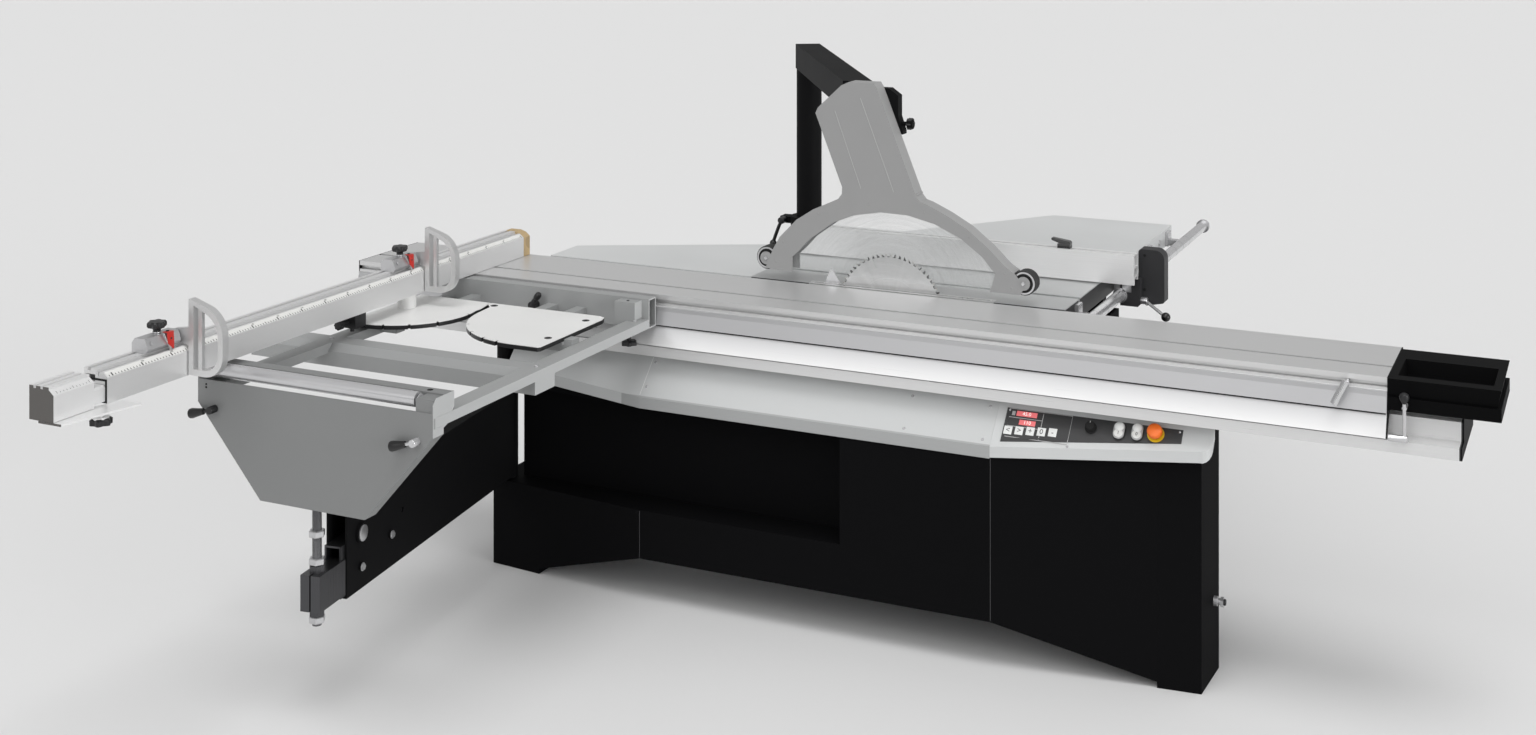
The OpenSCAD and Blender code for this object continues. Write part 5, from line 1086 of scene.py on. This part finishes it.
class SAW_OT_guard_trim(Step, bpy.types.Operator):
    """Wheels, rivets and beads of the hood, clamp lever and knob of its arm"""

    bl_idname = "saw.guard_trim"
    bl_label = "Guard trim"

    def build(self, scene):
        trim = Fitting()
        for y, d in ((-29.0, -1), (29.0, 1)):
            for x in HOOD_WHEELS.values():
                trim.lathe([(6, 0), (6, 1.5), (5, 4), (0.01, 4.2)], (x, y, HOOD_WHEEL_Z), (0, d, 0), "zinc", 24)
            for x, z in ((-372, 960), (-345, 1022), (-226, 1118), (-60, 1160), (120, 1150), (262, 1088), (372, 990),
                         (392, 950)):
                trim.lathe([(3.2, 0), (2.9, 0.8), (1.6, 1.3), (0.01, 1.4)], (x, y, z), (0, d, 0), "hood_paint", 16)
            # Raised beads that stiffen the neck, lighter than the hood: painted highlight
            for start, end in (((-171, 1438), (-85, 1206)), ((-87, 1482), (22, 1203))):
                trim.pipe([(start[0], y, start[1]), (end[0], y, end[1])], 1.1, "hood_bead", 8)
        trim.make("hood_rivets", "hood")

        for end, x in HOOD_WHEELS.items():
            wheel = Fitting()
            profile = [(6.06, -22), (12, -22), (12, -17), (28, -17), (28, -22), (33, -22), (36, -19),
                       (36, 19), (33, 22), (28, 22), (28, 17), (12, 17), (12, 22), (6.06, 22)]
            wheel.lathe(profile, (x, 0, HOOD_WHEEL_Z), Y, "rubber", 48)
            for y, d in ((-22, -1), (22, 1)):
                wheel.washer((x, HOOD_WHEEL_Z), 33, 28, 40, "y", y, y + d * 0.8, "zinc")
            wheel.make("hood_wheel_tyre_" + end, "hood_wheel_" + end, ["hood_roller_" + end])

        lever = Fitting()
        lever.lathe([(6, 0), (6, 66)], (-825, 1002, 868), Y, "steel_y", 24)
        lever.lathe([(8, 0), (13, 2), (13, 29.5)], (-825, 988, 868), Y, "black_plastic", 28)
        lever.pipe([(-825, 996, 868), (-835, 994, 846), (-849, 994, 810), (-857, 994, 788)], 6.5, "black_plastic")
        lever.ball((-858, 994, 782), 13, "black_gloss")
        lever.make("post_clamp_lever", "guard_clamp", ["guard_lever"])

        boom = Fitting()
        knob = Vector((36, 50, 1401))
        boom.lathe([(6, -22), (6, 0), (12, 0), (17, 3), (17, 15), (14, 19), (0.01, 19)], knob, X,
                   "black_plastic", 48, 6, 0.14)
        for x in (-120, 0):
            boom.cap_screw((x, 63, 1450), Y, 6, "zinc")
        boom.make("boom_fittings", "guard_boom")


class SAW_OT_table_trim(Step, bpy.types.Operator):
    """Insert screws and bolts of the fixed tables"""

    bl_idname = "saw.table_trim"
    bl_label = "Table trim"

    def build(self, scene):
        trim = Fitting()
        for x in (-257, 325):
            trim.lathe([(4.4, 0), (4.4, 1.2), (1.8, 1.8), (1.8, 0.6), (0.01, 0.6)], (x, 0, 897.2), Z, "zinc", 18)
        # Bolts in the slotted skirt of the rip side extension
        for y in (740, 920, 1180):
            trim.lathe([(9, 0), (9, 5)], (542.2, y, 868), X, "zinc", 6)
            trim.lathe([(12, 0), (12, 1.5)], (542.1, y, 868), X, "zinc", 24)
        trim.make("table_bolts", "base")


class SAW_OT_rip_trim(Step, bpy.types.Operator):
    """Clamp lever, screws and collar of the rip fence, marks on its rail"""

    bl_idname = "saw.rip_trim"
    bl_label = "Rip fence trim"

    def build(self, scene):
        lever = Fitting()
        base = Vector((682.0, 410.0, 848.0))
        turn = Matrix.Rotation(math.radians(-36), 3, "Z") @ Matrix.Rotation(math.radians(108), 3, "Y")
        slope = turn @ Vector(Z)
        lever.lathe([(5, -20), (5, 0.4), (10, 0.4), (11, 2), (11, 19), (9, 20.5), (0.01, 20.5)], (668, 410, 848),
                    X, "zinc", 28)
        lever.pipe([base, base + slope * 92], 5, "steel_x")
        lever.ball(base + slope * 98, 14, "black_gloss", slope)
        lever.make("rip_clamp_lever", "rip_clamp", ["rip_lever"])

        carrier = Fitting()
        for x, z in ((676, 985), (676, 880)):
            carrier.cap_screw((x, 424, z), (0, -1, 0), 4.5, "seam_dark", 1.5)
        # Bright collar on the rail
        carrier.washer(RIP_RAIL, 23, 17.8, 40, "y", 396, 400, "steel_y", 0.8)
        carrier.block((612, 396, 872), (640, 402, 900), "zinc", 1.0)
        carrier.make("carrier_fittings", "carrier")

        rail = Fitting()
        for y in range(100, 1400, 100):
            rail.washer(RIP_RAIL, 17.7, 17.4, 40, "y", y, y + 0.8, "ink")
        rail.make("rail_marks", "base")


class SAW_PT_panel(bpy.types.Panel):
    """Sidebar panel with the saw's pieces"""

    bl_idname = "SAW_PT_panel"
    bl_label = "Panel saw"
    bl_space_type = "VIEW_3D"
    bl_region_type = "UI"
    bl_category = "Panel saw"

    def draw(self, context):
        for group in (context.scene.saw_colours, context.scene.saw_studio):
            for key in group.bl_rna.properties.keys():
                if key not in ("rna_type", "name"):
                    self.layout.prop(group, key)
        for operator in OPERATORS:
            self.layout.operator(operator.bl_idname)


OPERATORS = (SAW_OT_finishes, SAW_OT_studio, SAW_OT_controls, SAW_OT_cabinet_trim, SAW_OT_carriage_trim,
             SAW_OT_outrigger_trim, SAW_OT_angle_plates, SAW_OT_fence_marks, SAW_OT_stops, SAW_OT_arm_trim,
             SAW_OT_guard_trim, SAW_OT_table_trim, SAW_OT_rip_trim)
CLASSES = (SawColours, SawStudio, *OPERATORS, SAW_PT_panel)


def register():
    for cls in CLASSES:
        bpy.utils.register_class(cls)
    bpy.types.Scene.saw_colours = bpy.props.PointerProperty(type=SawColours)
    bpy.types.Scene.saw_studio = bpy.props.PointerProperty(type=SawStudio)


def unregister():
    del bpy.types.Scene.saw_studio
    del bpy.types.Scene.saw_colours
    for cls in reversed(CLASSES):
        bpy.utils.unregister_class(cls)


def main():
    register()
    for operator in OPERATORS:
        group, name = operator.bl_idname.split(".")
        getattr(getattr(bpy.ops, group), name)()


if __name__ == "__main__":
    main()
